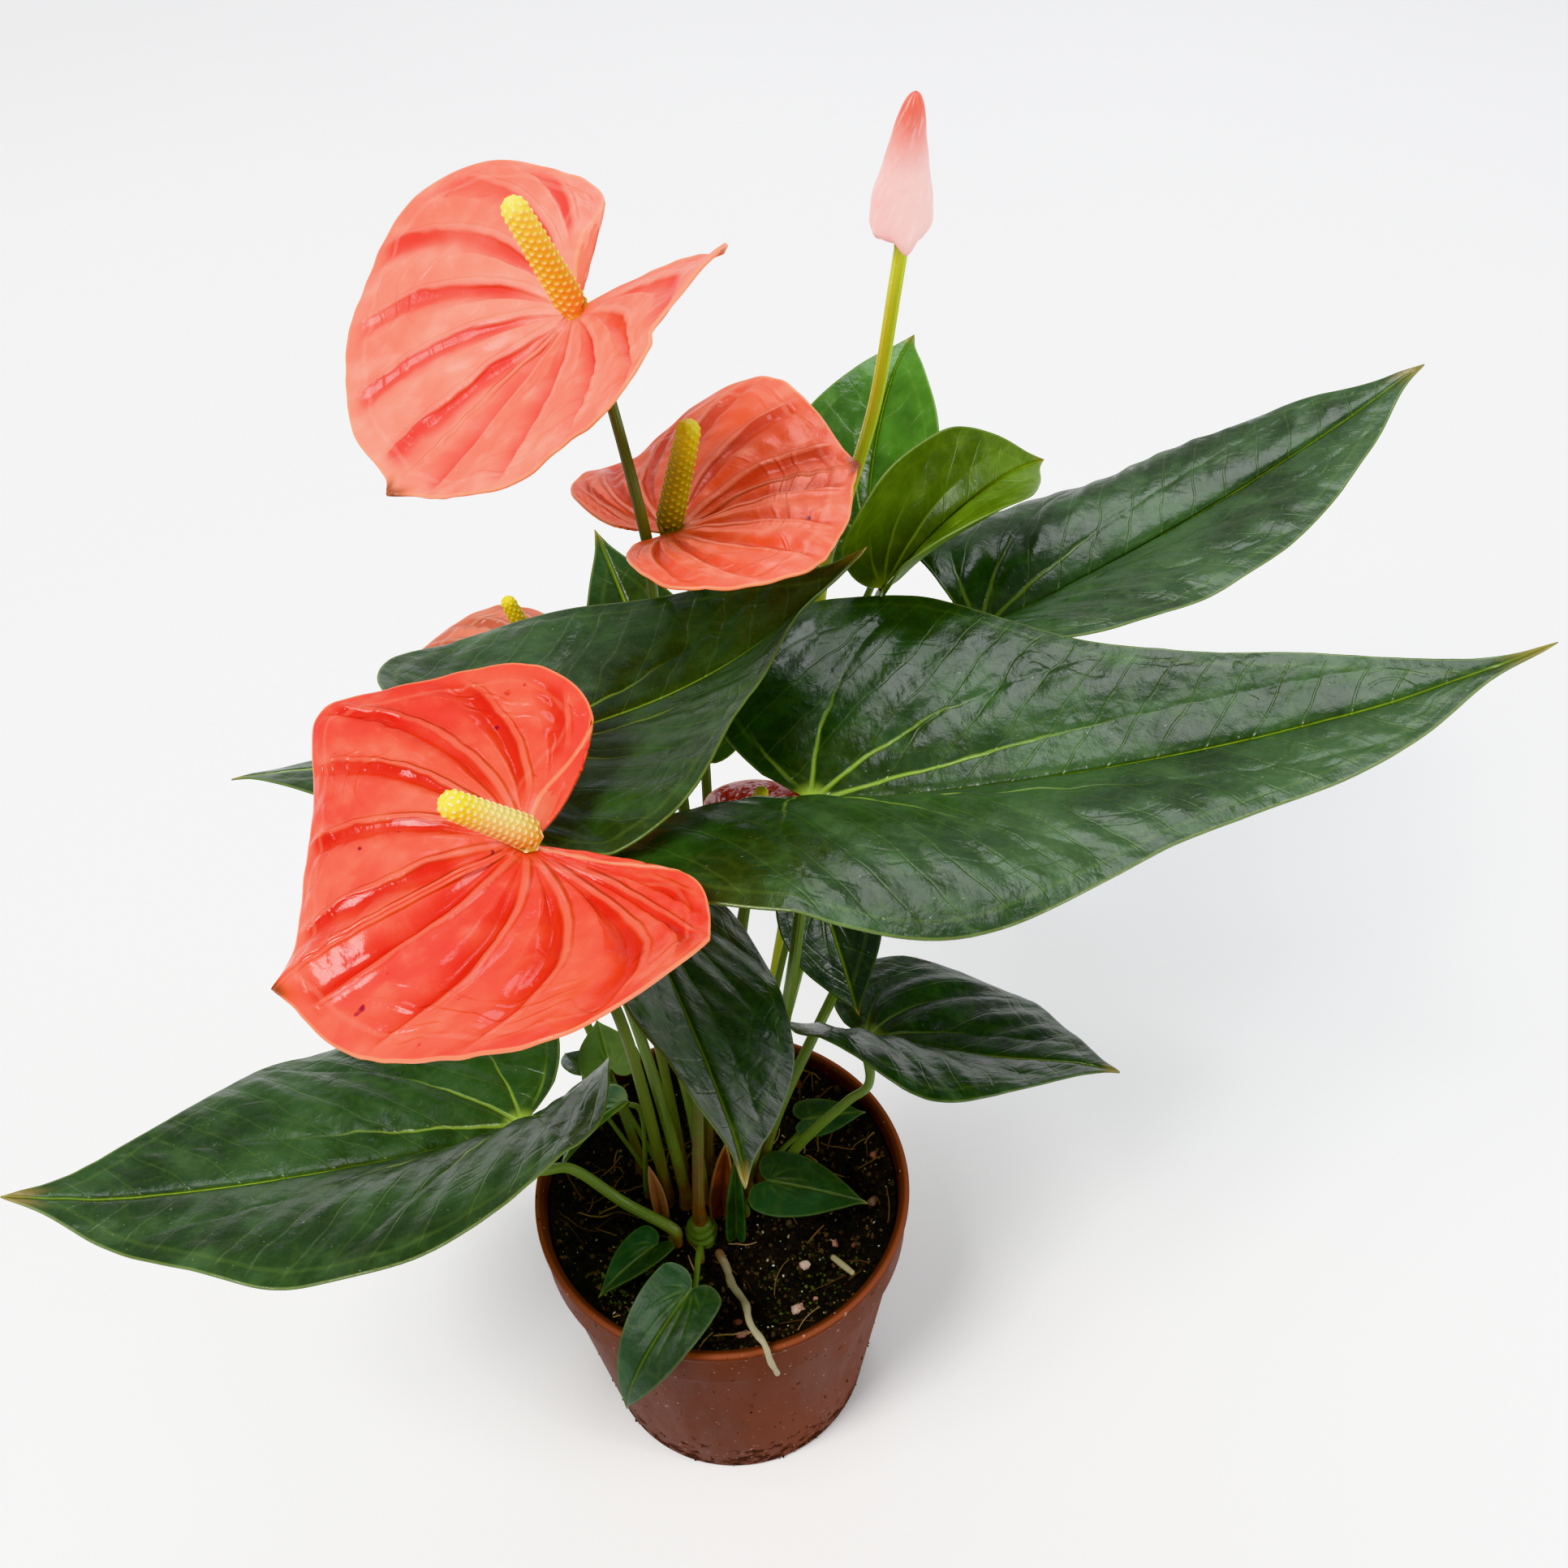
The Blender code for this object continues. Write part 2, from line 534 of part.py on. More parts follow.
def add_turned(name, profile, steps, colour):
    """A profile of (radius, height) turned round Z. It starts and ends on the axis. Its outer side runs down."""
    mesh = bpy.data.meshes.new(name)
    points = [(radius * MM, 0.0, height * MM) for radius, height in profile]
    mesh.from_pydata(points, [(i, i + 1) for i in range(len(points) - 1)], [])
    made = link(name, mesh, colour)
    screw = made.modifiers.new("turn", "SCREW")
    screw.steps = steps
    screw.render_steps = steps
    screw.use_merge_vertices = True
    screw.merge_threshold = 0.00002
    return made


def add_sheet(name):
    """A leaf or a spathe: a bent grid with its thickness from a Solidify modifier."""
    spec = SHEETS[name]
    rows, half_columns = GRIDS[spec.get("grid", "large")]
    grid = bent(flat_sheet(spec, rows, half_columns), spec)
    columns = grid.shape[1]
    faces = [
        (i * columns + j, (i + 1) * columns + j, (i + 1) * columns + j + 1, i * columns + j + 1)
        for i in range(rows - 1)
        for j in range(columns - 1)
    ]
    mesh = bpy.data.meshes.new(name)
    mesh.from_pydata((grid.reshape(-1, 3) * MM).tolist(), [], faces)
    work = bmesh.new()
    work.from_mesh(mesh)
    bmesh.ops.remove_doubles(work, verts=work.verts, dist=0.00002)
    bmesh.ops.recalc_face_normals(work, faces=work.faces)
    work.to_mesh(mesh)
    work.free()
    made = link(name, mesh, spec["colour"])
    solid = made.modifiers.new("thickness", "SOLIDIFY")
    solid.thickness = (SPATHE_THICK if spec["kind"] == "spathe" else LEAF_THICK) * MM
    solid.offset = 0.0
    return made


def joint_end(spec, direction, radius, under):
    """Centre of a stalk's end just under the notch, or of a spike's base just over it."""
    up = axes_of(spec["turn"])[2]
    tilt = math.sqrt(max(0.0, 1.0 - float(np.dot(direction, up)) ** 2))
    rise = 0.5 * SPATHE_THICK + STALK_GAP + radius * tilt
    if not under:
        rise += radius * math.tan(math.radians(max(0.0, spec["fold"][0])))
    return place_of(spec) + up * (-rise if under else rise)


def add_stalk(name):
    spec = STALKS[name]
    sheet = SHEETS[spec["sheet"]]
    low, high = spec["radii"]
    direction = unit(spec.get("arrive", axes_of(sheet["turn"])[2]))
    knee = KNEE if sheet["kind"] == "leaf" else 1.0
    end = joint_end(sheet, direction, high * knee, True)
    count = spec.get("count", 12)
    base = (*CROWN, CROWN_HEIGHT + SEAT_GAP) if spec["base"] == "crown" else spec["base"]
    path = stalk_path(base, spec.get("way", ()), end, direction, spec.get("back", 14.0), count)
    radii = low + (high - low) * np.clip(np.linspace(0, 1.3, count), 0, 1)
    radii[-2:] *= knee
    radii[:2] *= FOOT_FLARE
    add_tube(name, path, radii, "stalk")


def add_spike(name):
    """The knobbly spike of a flower, a blunt rod that leans over its spathe."""
    spec = SPIKES[name]
    direction = unit(spec["direction"])
    radius = spec["radius"]
    base = joint_end(SHEETS[spec["sheet"]], direction, radius * SPIKE_SHAPE[0], False)
    t = np.linspace(0, 1, len(SPIKE_SHAPE))
    path = base + direction * spec["length"] * t[:, None]
    add_tube(name, path, radius * np.array(SPIKE_SHAPE), "spike", 2)


def add_pot():
    """Tapered pot with a wider collar, a rounded lip, and drain holes round the centre of its floor."""
    collar = POT_HEIGHT - COLLAR_HEIGHT
    profile = [
        (0.0, FLOOR),
        (inner_radius(FLOOR), FLOOR),
        (inner_radius(collar), collar - 1.0),
        (inner_radius(collar) + 0.6, collar + 2.0),
        (RIM_RADIUS - WALL - LIP_STEP, POT_HEIGHT - 1.4),
        (RIM_RADIUS - WALL - 0.9, POT_HEIGHT),
        (RIM_RADIUS - 0.7, POT_HEIGHT),
        (RIM_RADIUS, POT_HEIGHT - 0.6),
        (RIM_RADIUS, POT_HEIGHT - 3.0),
        (RIM_RADIUS - 0.4, POT_HEIGHT - 3.4),
        (RIM_RADIUS - RIM_LIP, collar + 0.8),
        (outer_radius(collar), collar),
        (BASE_RADIUS, 1.2),
        (BASE_RADIUS - 1.0, 0.0),
        (0.0, 0.0),
    ]
    pot = add_turned("pot", profile, 48, "terracotta")
    for k in range(DRAIN_COUNT):
        a = 2 * math.pi * (k + 0.56) / DRAIN_COUNT
        mesh = bpy.data.meshes.new("drain_cutter")
        work = bmesh.new()
        bmesh.ops.create_cone(
            work, cap_ends=True, segments=12, radius1=DRAIN_RADIUS * MM, radius2=DRAIN_RADIUS * MM,
            depth=3 * FLOOR * MM,
        )
        work.to_mesh(mesh)
        work.free()
        cutter = bpy.data.objects.new(f"drain_cutter_{k + 1}", mesh)
        cutter.location = (DRAIN_CIRCLE * MM * math.cos(a), DRAIN_CIRCLE * MM * math.sin(a), 0.0)
        cutter.hide_render = True
        cutter.display_type = "WIRE"
        cutters.objects.link(cutter)
        cut = pot.modifiers.new(f"drain_{k + 1}", "BOOLEAN")
        cut.operation = "DIFFERENCE"
        cut.solver = "EXACT"
        cut.object = cutter


def add_soil():
    """Soil that fills the pot: flat under the plant, with a ditch round it, and banked up at the wall."""
    low = FLOOR + SOIL_CLEARANCE
    profile = [(0.0, SOIL_TOP)]
    profile += list(zip(*soil_top()))
    profile += [(inner_radius(low) - SOIL_CLEARANCE, low), (0.0, low)]
    add_turned("soil", profile, 36, "soil")


def add_crown():
    """Short green knob that one flower's stalk rises from."""
    shape = np.array([0.85, 1.0, 1.0, 0.94, 0.82, 0.60, 0.34])
    t = np.linspace(0, 1, len(shape))
    path = np.stack([CROWN[0] + 0 * t, CROWN[1] + 0 * t, SOIL_TOP + SEAT_GAP + CROWN_HEIGHT * t], -1)
    add_tube("crown", path, CROWN_RADIUS * shape, "stalk", 3)


def add_aerial_root():
    """Root that leaves the soil beside the crown and crosses the rim."""
    over = POT_HEIGHT + AERIAL_ROOT_RADIUS + 0.8
    path = spline(
        [
            (-3.0, -18.5, SOIL_TOP + 0.8 + AERIAL_ROOT_RADIUS),
            (0.0, -30.0, SOIL_TOP + 5.5),
            (4.0, -RIM_RADIUS + 12.0, over + 0.6),
            (7.0, -RIM_RADIUS + 2.0, over + 1.6),
            (9.5, -RIM_RADIUS - 2.5, over - 3.0),
            (11.5, -RIM_RADIUS - 3.4, over - 12.0),
        ],
        14,
    )
    add_tube("aerial_root", path, AERIAL_ROOT_RADIUS * np.linspace(1.15, 0.75, len(path)), "root")


def add_stub():
    """Cut end of an old stalk leaning on the banked soil."""
    low = np.array(STUB_FOOT) + (0.0, 0.0, SOIL_TOP)
    path = low + np.array(STUB_RUN) * np.linspace(0, 1, 4)[:, None]
    add_tube("old_stub", path, STUB_RADIUS * np.array([0.9, 1.0, 1.0, 0.85]), "sheath")


def add_bud():
    """Closed flower, its spathe still rolled round the spike, and its stalk."""
    base = np.array(BUD_BASE) + (0.0, 0.0, SOIL_TOP)
    shape = np.array([0.45, 0.94, 1.0, 0.93, 0.82, 0.71, 0.61, 0.53, 0.44, 0.33, 0.06])
    t = np.linspace(0, 1, len(shape))[:, None]
    path = base + np.array([0, 0, BUD_LENGTH]) * t + np.array(BUD_LEAN) * t * t
    add_tube("flower_bud", path, BUD_RADIUS * shape, "bud", 2)
    direction = unit(BUD_STALK_ARRIVES)
    end = base - (0.0, 0.0, STALK_GAP + 0.4 * BUD_STALK_RADII[1])
    path = stalk_path(BUD_STALK_BASE, BUD_STALK_WAY, end, direction, 12.0, 14)
    add_tube("flower_stalk_bud", path, np.linspace(*BUD_STALK_RADII, 14), "stalk")


add_pot()
add_soil()
add_crown()
add_aerial_root()
add_stub()
add_bud()
for sheet_name in SHEETS:
    add_sheet(sheet_name)
for stalk_name in STALKS:
    add_stalk(stalk_name)
for spike_name in SPIKES:
    add_spike(spike_name)
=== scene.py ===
"""Looks of the potted anthurium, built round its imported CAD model.

Every leaf and every spathe (the coloured collar of a flower) is one fine curved sheet with veins. Each stalk
is a tapered tube, and each spike a tube with rows of raised dots. The pot and the soil are turned shapes, and
crumbs, stones, moss and root threads are scattered over the soil. Tables are in millimetres and degrees, and
meshes in metres.
"""

import math

import bmesh
import bpy
import numpy as np
from mathutils import Matrix, Vector


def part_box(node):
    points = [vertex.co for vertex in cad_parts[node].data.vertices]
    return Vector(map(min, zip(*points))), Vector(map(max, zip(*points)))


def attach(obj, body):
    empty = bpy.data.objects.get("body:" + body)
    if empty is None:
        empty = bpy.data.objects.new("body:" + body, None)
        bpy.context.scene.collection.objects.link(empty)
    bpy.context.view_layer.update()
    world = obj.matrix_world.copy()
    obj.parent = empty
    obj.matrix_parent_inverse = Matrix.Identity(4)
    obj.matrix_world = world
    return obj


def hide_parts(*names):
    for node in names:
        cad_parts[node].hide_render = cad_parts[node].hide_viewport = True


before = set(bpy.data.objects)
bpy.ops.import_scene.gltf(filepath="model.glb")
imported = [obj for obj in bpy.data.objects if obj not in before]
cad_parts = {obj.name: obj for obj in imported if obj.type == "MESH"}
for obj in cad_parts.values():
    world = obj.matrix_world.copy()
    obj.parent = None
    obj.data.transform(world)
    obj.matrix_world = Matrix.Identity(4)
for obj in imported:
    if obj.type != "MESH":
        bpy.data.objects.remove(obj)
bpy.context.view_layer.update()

MM = 0.001


def box_in_mm(node):
    """Lowest and highest corner of a CAD node."""
    return [np.array(corner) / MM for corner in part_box(node)]


# ---- sizes from the frame ----

pot_low, pot_high = box_in_mm("pot")
RIM_RADIUS = (pot_high[0] - pot_low[0]) / 2
POT_HEIGHT = pot_high[2] - pot_low[2]
POT_CENTRE = np.array([*((pot_low + pot_high) / 2)[:2], pot_low[2]])

# Sizes that the CAD model is built to
BASE_RADIUS = 45.0
WALL = 1.8
LIP_STEP = 1.6
FLOOR = 2.2
COLLAR_HEIGHT = 19.0
COLLAR_STEP = 1.8
RIM_LIP = 1.2
DRAIN_COUNT = 6
DRAIN_RADIUS = 4.0
DRAIN_CIRCLE = 27.0
SOIL_CLEARANCE = 0.4
SOIL_BUMP = 1.5
SOIL_BANK = 8.0
FLAT_SOIL_RADIUS = 36.0
STALK_GAP = 0.4
SEAT_GAP = 0.35
UPRIGHT_FOOT = 2.0
SOIL_TOP = box_in_mm("soil")[1][2] - pot_low[2] - SOIL_BANK

# Half outline of a sheet, as (fraction of the length or of the lobe, fraction of the half width)
LEAF_LOBE = ((-0.50, 0.12), (-0.97, 0.42), (-0.55, 0.86))
LEAF_SIDE = ((0.14, 1.0), (0.45, 0.82), (0.74, 0.40), (0.91, 0.10))
SPATHE_LOBE = ((-0.60, 0.12), (-1.00, 0.45), (-0.55, 0.90))
SPATHE_SIDE = ((0.22, 1.0), (0.56, 0.78), (0.84, 0.40), (0.955, 0.08))
TOP_LEFT = (
    ((-0.55, 0.19), (-0.90, 0.50), (-0.58, 0.95)),
    ((0.36, 1.08), (0.61, 0.75), (0.90, 0.38), (0.955, 0.06)),
)
TOP_RIGHT = (
    ((-0.50, 0.19), (-1.00, 0.33), (-0.60, 0.83)),
    ((0.17, 1.0), (0.56, 0.75), (0.85, 0.38), (0.95, 0.06)),
)
FRONT_LEFT = (
    ((-0.55, 0.20), (-1.20, 0.52), (-0.55, 0.78)),
    ((0.36, 1.0), (0.57, 0.78), (0.86, 0.35), (0.955, 0.10)),
)
FRONT_RIGHT = (
    ((-0.30, 0.13), (-0.97, 0.28), (-0.92, 0.66)),
    ((0.15, 1.04), (0.55, 0.75), (0.81, 0.38), (0.91, 0.09)),
)
SCALE_LOBE = ((-1.0, 0.30), (-0.60, 0.80))
SCALE_SIDE = ((0.25, 1.0), (0.55, 0.80), (0.80, 0.42))

# Where the notch of each sheet is (height above the soil's flat), how it is turned, and how it is bent.
# size = length from notch to tip, half width, lobe length behind the notch
# turn = heading, pitch up, roll (raises the left side)
# bend = droop, sway to the left, twist, S bend, lobe lift
# fold = angle of both halves at the notch, the same at the tip, curl of each half, and extra curl of the left
# lean = share by which the left half is wider, the same for its lobe, fullness towards the tip
# halves = its own outlines of the left and the right half, where the usual one does not do
SHEETS = {
    "leaf_right": {
        "kind": "leaf", "at": (33, 29, 155), "size": (208, 81, 46), "turn": (-8, 2, -19),
        "bend": (-22, 10, 19, 2, -16), "fold": (36, 9, -38, 16), "lean": (-0.03, -0.42, -0.33),
    },
    "leaf_middle": {
        "kind": "leaf", "at": (-42, 44, 174), "size": (114, 66, 30), "turn": (20, -8, -9),
        "bend": (-50, -4, -14, -1, 28), "fold": (4, 30, -7, -7), "lean": (0.02, 0.08, -0.16),
    },
    "leaf_back_right": {
        "kind": "leaf", "at": (98, 113, 137), "size": (182, 65, 6), "turn": (19, 9, -8),
        "bend": (-8, 8, 0, 0, 16), "fold": (45, 5, -64, -23), "lean": (0.13, 0.0, 0.0),
    },
    "leaf_left": {
        "kind": "leaf", "at": (-58, -2, 61), "size": (145, 68, 35), "turn": (200, 3, 31),
        "bend": (-29, -7, -16, 4, 41), "fold": (32, 4, -33, -3), "lean": (0.0, 0.07, 0.10),
    },
    "leaf_hanging": {
        "kind": "leaf", "at": (-18, 25, 126), "size": (115, 43, 22),
        "turn": (286, 7, -48),
        "bend": (1, -10, 3, 0, 9), "fold": (12, 6, -3, -5), "lean": (0.04, 0.0, 0.0), "grid": "medium",
    },
    "leaf_front_right": {
        "kind": "leaf", "at": (49, 17, 59), "size": (80, 45, 17), "turn": (338, 13, -33),
        "bend": (5, -6, 5, -6, 2), "fold": (33, 1, -27, 1), "lean": (0.0, 0.0, 0.19), "grid": "medium",
    },
    "leaf_young": {
        "kind": "leaf", "at": (67.5, 113, 159), "size": (85, 33, 6),
        "turn": (40, 22, 12),
        "bend": (46, -6, 14, 0, -3), "fold": (59, 17, 29, 3), "lean": (0.04, 0.0, 0.0), "grid": "medium",
    },
    "leaf_upright": {
        "kind": "leaf", "at": (69, 155, 144), "size": (81, 32, 10), "turn": (80, 46, -22),
        "bend": (46, -6, 1, 0, 10), "fold": (18, 10, 6, 1), "lean": (0.06, 0.0, 0.0), "grid": "medium",
    },
    "leaf_inner_right": {
        "kind": "leaf", "at": (38, 36, 108), "size": (40, 17, 8), "turn": (290, -50, 0),
        "bend": (5, 0, 0, 0, 10), "fold": (15, 5, -5, 0), "lean": (0.0, 0.0, 0.0), "grid": "small",
    },
    "leaf_back_left": {
        "kind": "leaf", "at": (-75, 100, 113), "size": (66, 28, 16), "turn": (176, 6, 20),
        "bend": (12, 1, 12, 0, 10), "fold": (4, 2, -25, 0), "lean": (0.0, 0.0, 0.0), "grid": "small",
    },
    "leaf_back_middle": {
        "kind": "leaf", "at": (-1, 117, 97), "size": (76, 26, 12), "turn": (110, 50, 0),
        "bend": (20, 0, 0, 0, 10), "fold": (15, 8, -5, 0), "lean": (0.0, 0.0, 0.0), "grid": "small",
    },
    "leaflet_right": {
        "kind": "leaf", "at": (14, -5, 20), "size": (33, 12.5, 4), "turn": (339, 3, -5),
        "bend": (13, 3, 1, 0, 11), "fold": (7, 3, -13, 0), "lean": (0.0, 0.0, 0.0), "grid": "small",
    },
    "leaflet_over_rim": {
        "kind": "leaf", "at": (-12, 17, 13), "size": (48, 12, 4), "turn": (227, -8, -5),
        "bend": (85, -3, 0, 0, 16), "fold": (16, 5, -2, 1), "lean": (0.0, 0.0, 0.0), "grid": "small",
        "over_rim": True,
    },
    "leaflet_left": {
        "kind": "leaf", "at": (-22, -16, 8), "size": (26, 8, 3), "turn": (220, 14, 8),
        "bend": (24, 0, 1, 0, 10), "fold": (26, 6, -4, 0), "lean": (0.0, 0.0, 0.0), "grid": "small",
    },
    "leaflet_inner": {
        "kind": "leaf", "at": (28, 16, 20), "size": (21, 7, 3), "turn": (2, 3, 5),
        "bend": (16, 2, 1, 0, 10), "fold": (9, 4, -9, 0), "lean": (0.0, 0.0, 0.0), "grid": "small",
    },
    "leaflet_light": {
        "kind": "leaf", "at": (-31, 24, 48), "size": (18, 10, 4), "turn": (102, 16, 5),
        "bend": (11, -2, 1, 0, 10), "fold": (12, 5, -6, 0), "lean": (0.0, 0.0, 0.0), "grid": "small",
    },
    "leaflet_grey": {
        "kind": "leaf", "at": (-40, 26, 46), "size": (13, 6, 3), "turn": (120, -10, 5),
        "bend": (20, 0, 0, 0, 10), "fold": (30, 15, 0, 0), "lean": (0.0, 0.0, 0.0), "grid": "small",
    },
    "leaflet_folded": {
        "kind": "leaf", "at": (-27, 14, 43), "size": (36, 9, 3), "turn": (190, -38, 0),
        "bend": (20, 0, 20, 0, 0), "fold": (55, 40, 10, 0), "lean": (0.0, 0.0, 0.0), "grid": "small",
    },
    "leaflet_narrow": {
        "kind": "leaf", "at": (3, -13, 3), "size": (32, 4, 2), "turn": (80, 72, 0),
        "bend": (8, 0, 10, 0, 0), "fold": (40, 30, 0, 0), "lean": (0.0, 0.0, 0.0), "grid": "small",
    },
    "sheath_red": {
        "kind": "scale", "at": (-0.5, -4.0, 1.2), "size": (31, 5.3, 1),
        "turn": (68, 78, 0),
        "bend": (4, 0, 10, 0, 0), "fold": (38, 16, 25, 0), "lean": (0.0, 0.0, 0.0), "grid": "small",
    },
    "sheath_tan": {
        "kind": "scale", "at": (-20.5, -2.5, 1.2), "size": (22, 3.4, 1),
        "turn": (108, 76, 0),
        "bend": (8, 0, 5, 0, 0), "fold": (45, 20, 20, 0), "lean": (0.0, 0.0, 0.0), "grid": "small",
    },
    "spathe_top": {
        "kind": "spathe", "at": (-14, 81, 283), "size": (66, 70, 25),
        "turn": (214, -34, 3),
        "bend": (-31, 8, -1, 6, -31), "fold": (17, 7, 2, 21), "lean": (0.0, -0.09, 0.0), "grid": "spathe",
        "halves": (TOP_LEFT, TOP_RIGHT),
    },
    "spathe_back": {
        "kind": "spathe", "at": (4, 66, 224), "size": (53, 57, 20), "turn": (10, 7, -16),
        "bend": (-9, -8, 20, 11, 22), "fold": (12, 14, -16, -6), "lean": (0.01, 0.19, 0.18),
        "grid": "spathe",
    },
    "spathe_front": {
        "kind": "spathe", "at": (-39, -16, 198), "size": (70, 70, 30),
        "turn": (223, 17, -14),
        "bend": (60, -23, 8, -3, 28), "fold": (-2, -13, 19, 35), "lean": (-0.01, -0.35, 0.0),
        "grid": "spathe",
        "halves": (FRONT_LEFT, FRONT_RIGHT),
    },
    "spathe_left": {
        "kind": "spathe", "at": (-42, 131, 124), "size": (52, 46, 18),
        "turn": (197, 15, 32),
        "bend": (16, -2, 3, 0, 4), "fold": (22, 3, 4, 2), "lean": (0.0, 0.0, 0.0), "grid": "spathe",
    },
    "spathe_shaded": {
        "kind": "spathe", "at": (17, 54, 116), "size": (33, 20, 10), "turn": (15, 2, 0),
        "bend": (10, 0, 0, 0, 10), "fold": (10, 5, 0, 0), "lean": (0.0, 0.0, 0.0), "grid": "spathe",
    },
}

# Each stalk: the sheet it carries, where it stands on the soil, and its radii at the soil and at the top.
# way = points it passes, above the soil's flat
# arrive = direction at its end; without it, square to the sheet
# back = length of the straight end
STALKS = {
    "stalk_right": {
        "sheet": "leaf_right", "base": (8, 4), "radii": (2.2, 1.6), "way": ((18, 5, 55), (28, 17, 105)),
    },
    "stalk_middle": {
        "sheet": "leaf_middle", "base": (-12, 2), "radii": (2.0, 1.5), "way": ((-22, 22, 78),),
    },
    "stalk_back_right": {
        "sheet": "leaf_back_right", "base": (13, 7), "radii": (2.0, 1.5),
        "way": ((20, 13, 30), (45, 36, 70)),
    },
    "stalk_left": {
        "sheet": "leaf_left", "base": (-16.5, -11.5), "radii": (2.0, 1.5),
        "way": ((-31, -5, 16), (-46, -3, 36)),
    },
    "stalk_hanging": {
        "sheet": "leaf_hanging", "base": (-6, 3), "radii": (1.7, 1.3), "way": ((-10, 15, 60),),
    },
    "stalk_front_right": {
        "sheet": "leaf_front_right", "base": (19, 4), "radii": (1.9, 1.4),
        "way": ((25, 7, 18), (42, 8, 40)),
    },
    "stalk_young": {
        "sheet": "leaf_young", "base": (11, 15), "radii": (1.6, 1.2), "way": ((44, 70, 85),),
        "arrive": (0.1, -0.5, 1.0),
    },
    "stalk_upright": {
        "sheet": "leaf_upright", "base": (4, 21), "radii": (1.6, 1.2), "way": ((22, 80, 80),),
    },
    "stalk_inner_right": {
        "sheet": "leaf_inner_right", "base": (9, 10), "radii": (1.4, 1.0), "way": ((20, 28, 60),),
    },
    "stalk_back_left": {
        "sheet": "leaf_back_left", "base": (-26, 17), "radii": (1.6, 1.2), "way": ((-42, 50, 55),),
    },
    "stalk_back_middle": {
        "sheet": "leaf_back_middle", "base": (-3, 17), "radii": (1.6, 1.2), "way": ((-5, 60, 40),),
    },
    "stalk_leaflet_right": {
        "sheet": "leaflet_right", "base": (7, -4), "radii": (1.0, 0.7), "back": 5.0,
    },
    "stalk_leaflet_over_rim": {
        "sheet": "leaflet_over_rim", "base": (-9, -19), "radii": (1.1, 0.8), "back": 6.0,
    },
    "stalk_leaflet_inner": {
        "sheet": "leaflet_inner", "base": (19, 12), "radii": (0.9, 0.7), "back": 5.0,
    },
    "stalk_leaflet_light": {"sheet": "leaflet_light", "base": (-19, 10), "radii": (0.9, 0.7), "back": 6.0},
    "stalk_leaflet_grey": {"sheet": "leaflet_grey", "base": (-24, 11), "radii": (0.8, 0.6), "back": 5.0},
    "stalk_leaflet_folded": {
        "sheet": "leaflet_folded", "base": (-24.5, 7), "radii": (0.9, 0.7), "back": 5.0,
    },
    "flower_stalk_top": {
        "sheet": "spathe_top", "base": "crown", "radii": (2.0, 1.5),
        "arrive": (-0.2, -0.15, 1.0),
        "way": ((-5, 8, 48), (0, 54, 108), (-3, 114, 164), (-3, 62.5, 227), (-7, 73, 252)),
    },
    "flower_stalk_back": {
        "sheet": "spathe_back", "base": (-4, 10), "radii": (1.8, 1.4),
        "arrive": (0.0, -0.5, 1.0),
        "way": ((6, 62, 90), (9, 117, 162)),
    },
    "flower_stalk_front": {
        "sheet": "spathe_front", "base": (-18, 4), "radii": (2.0, 1.6), "way": ((-26, 10, 98),),
    },
    "flower_stalk_left": {
        "sheet": "spathe_left", "base": (-12, 13), "radii": (1.7, 1.3), "way": ((-20, 50, 70),),
    },
    "flower_stalk_shaded": {
        "sheet": "spathe_shaded", "base": (5, 15.5), "radii": (1.6, 1.2), "way": ((8, 36, 60),),
    },
}

# Each spike: its direction, length and radius
SPIKES = {
    "spike_top": {"sheet": "spathe_top", "direction": (-0.30, -0.25, 0.92), "length": 36, "radius": 3.7},
    "spike_back": {"sheet": "spathe_back", "direction": (0.22, -0.10, 0.97), "length": 34, "radius": 3.5},
    "spike_front": {
        "sheet": "spathe_front", "direction": (-0.48, -0.38, 0.79), "length": 33, "radius": 3.9,
    },
    "spike_left": {"sheet": "spathe_left", "direction": (-0.30, 0.10, 0.95), "length": 26, "radius": 2.8},
    "spike_shaded": {
        "sheet": "spathe_shaded", "direction": (0.30, -0.10, 0.95), "length": 22, "radius": 2.4,
    },
}

# The fullness of a side counts beyond FULL_FROM of the length, and more so beyond TIP_FROM
FULL_FROM = 0.3
TIP_FROM = 0.9
FULL_AT_TIP = 1.6
EDGE_POINTS = 160

OUTLINES = {
    "leaf": (LEAF_LOBE, LEAF_SIDE),
    "spathe": (SPATHE_LOBE, SPATHE_SIDE),
    "scale": (SCALE_LOBE, SCALE_SIDE),
}

CROWN = (-8.0, -10.0)
CROWN_RADIUS = 5.0
CROWN_HEIGHT = 9.0
AERIAL_ROOT_RADIUS = 1.6

# Cut end of an old stalk: its foot above the soil's flat, the run to its top, and its radius
STUB_FOOT = (32.5, -26.0, 5.0)
STUB_RUN = (5.0, -8.0, 3.5)
STUB_RADIUS = 1.3

# Closed flower: foot, length, sideways lean of its tip, radius and stalk
BUD_BASE = (62, 55, 308)
BUD_LENGTH = 40
BUD_LEAN = (1, -9, 0)
BUD_RADIUS = 7.4
BUD_STALK_BASE = (10, 21)
BUD_STALK_RADII = (2.1, 1.7)
BUD_STALK_WAY = ((35, 72, 95), (49, 114, 163), (54, 98, 203), (60, 83, 245))
BUD_STALK_ARRIVES = (0.05, -0.35, 1.0)


# ---- shapes ----


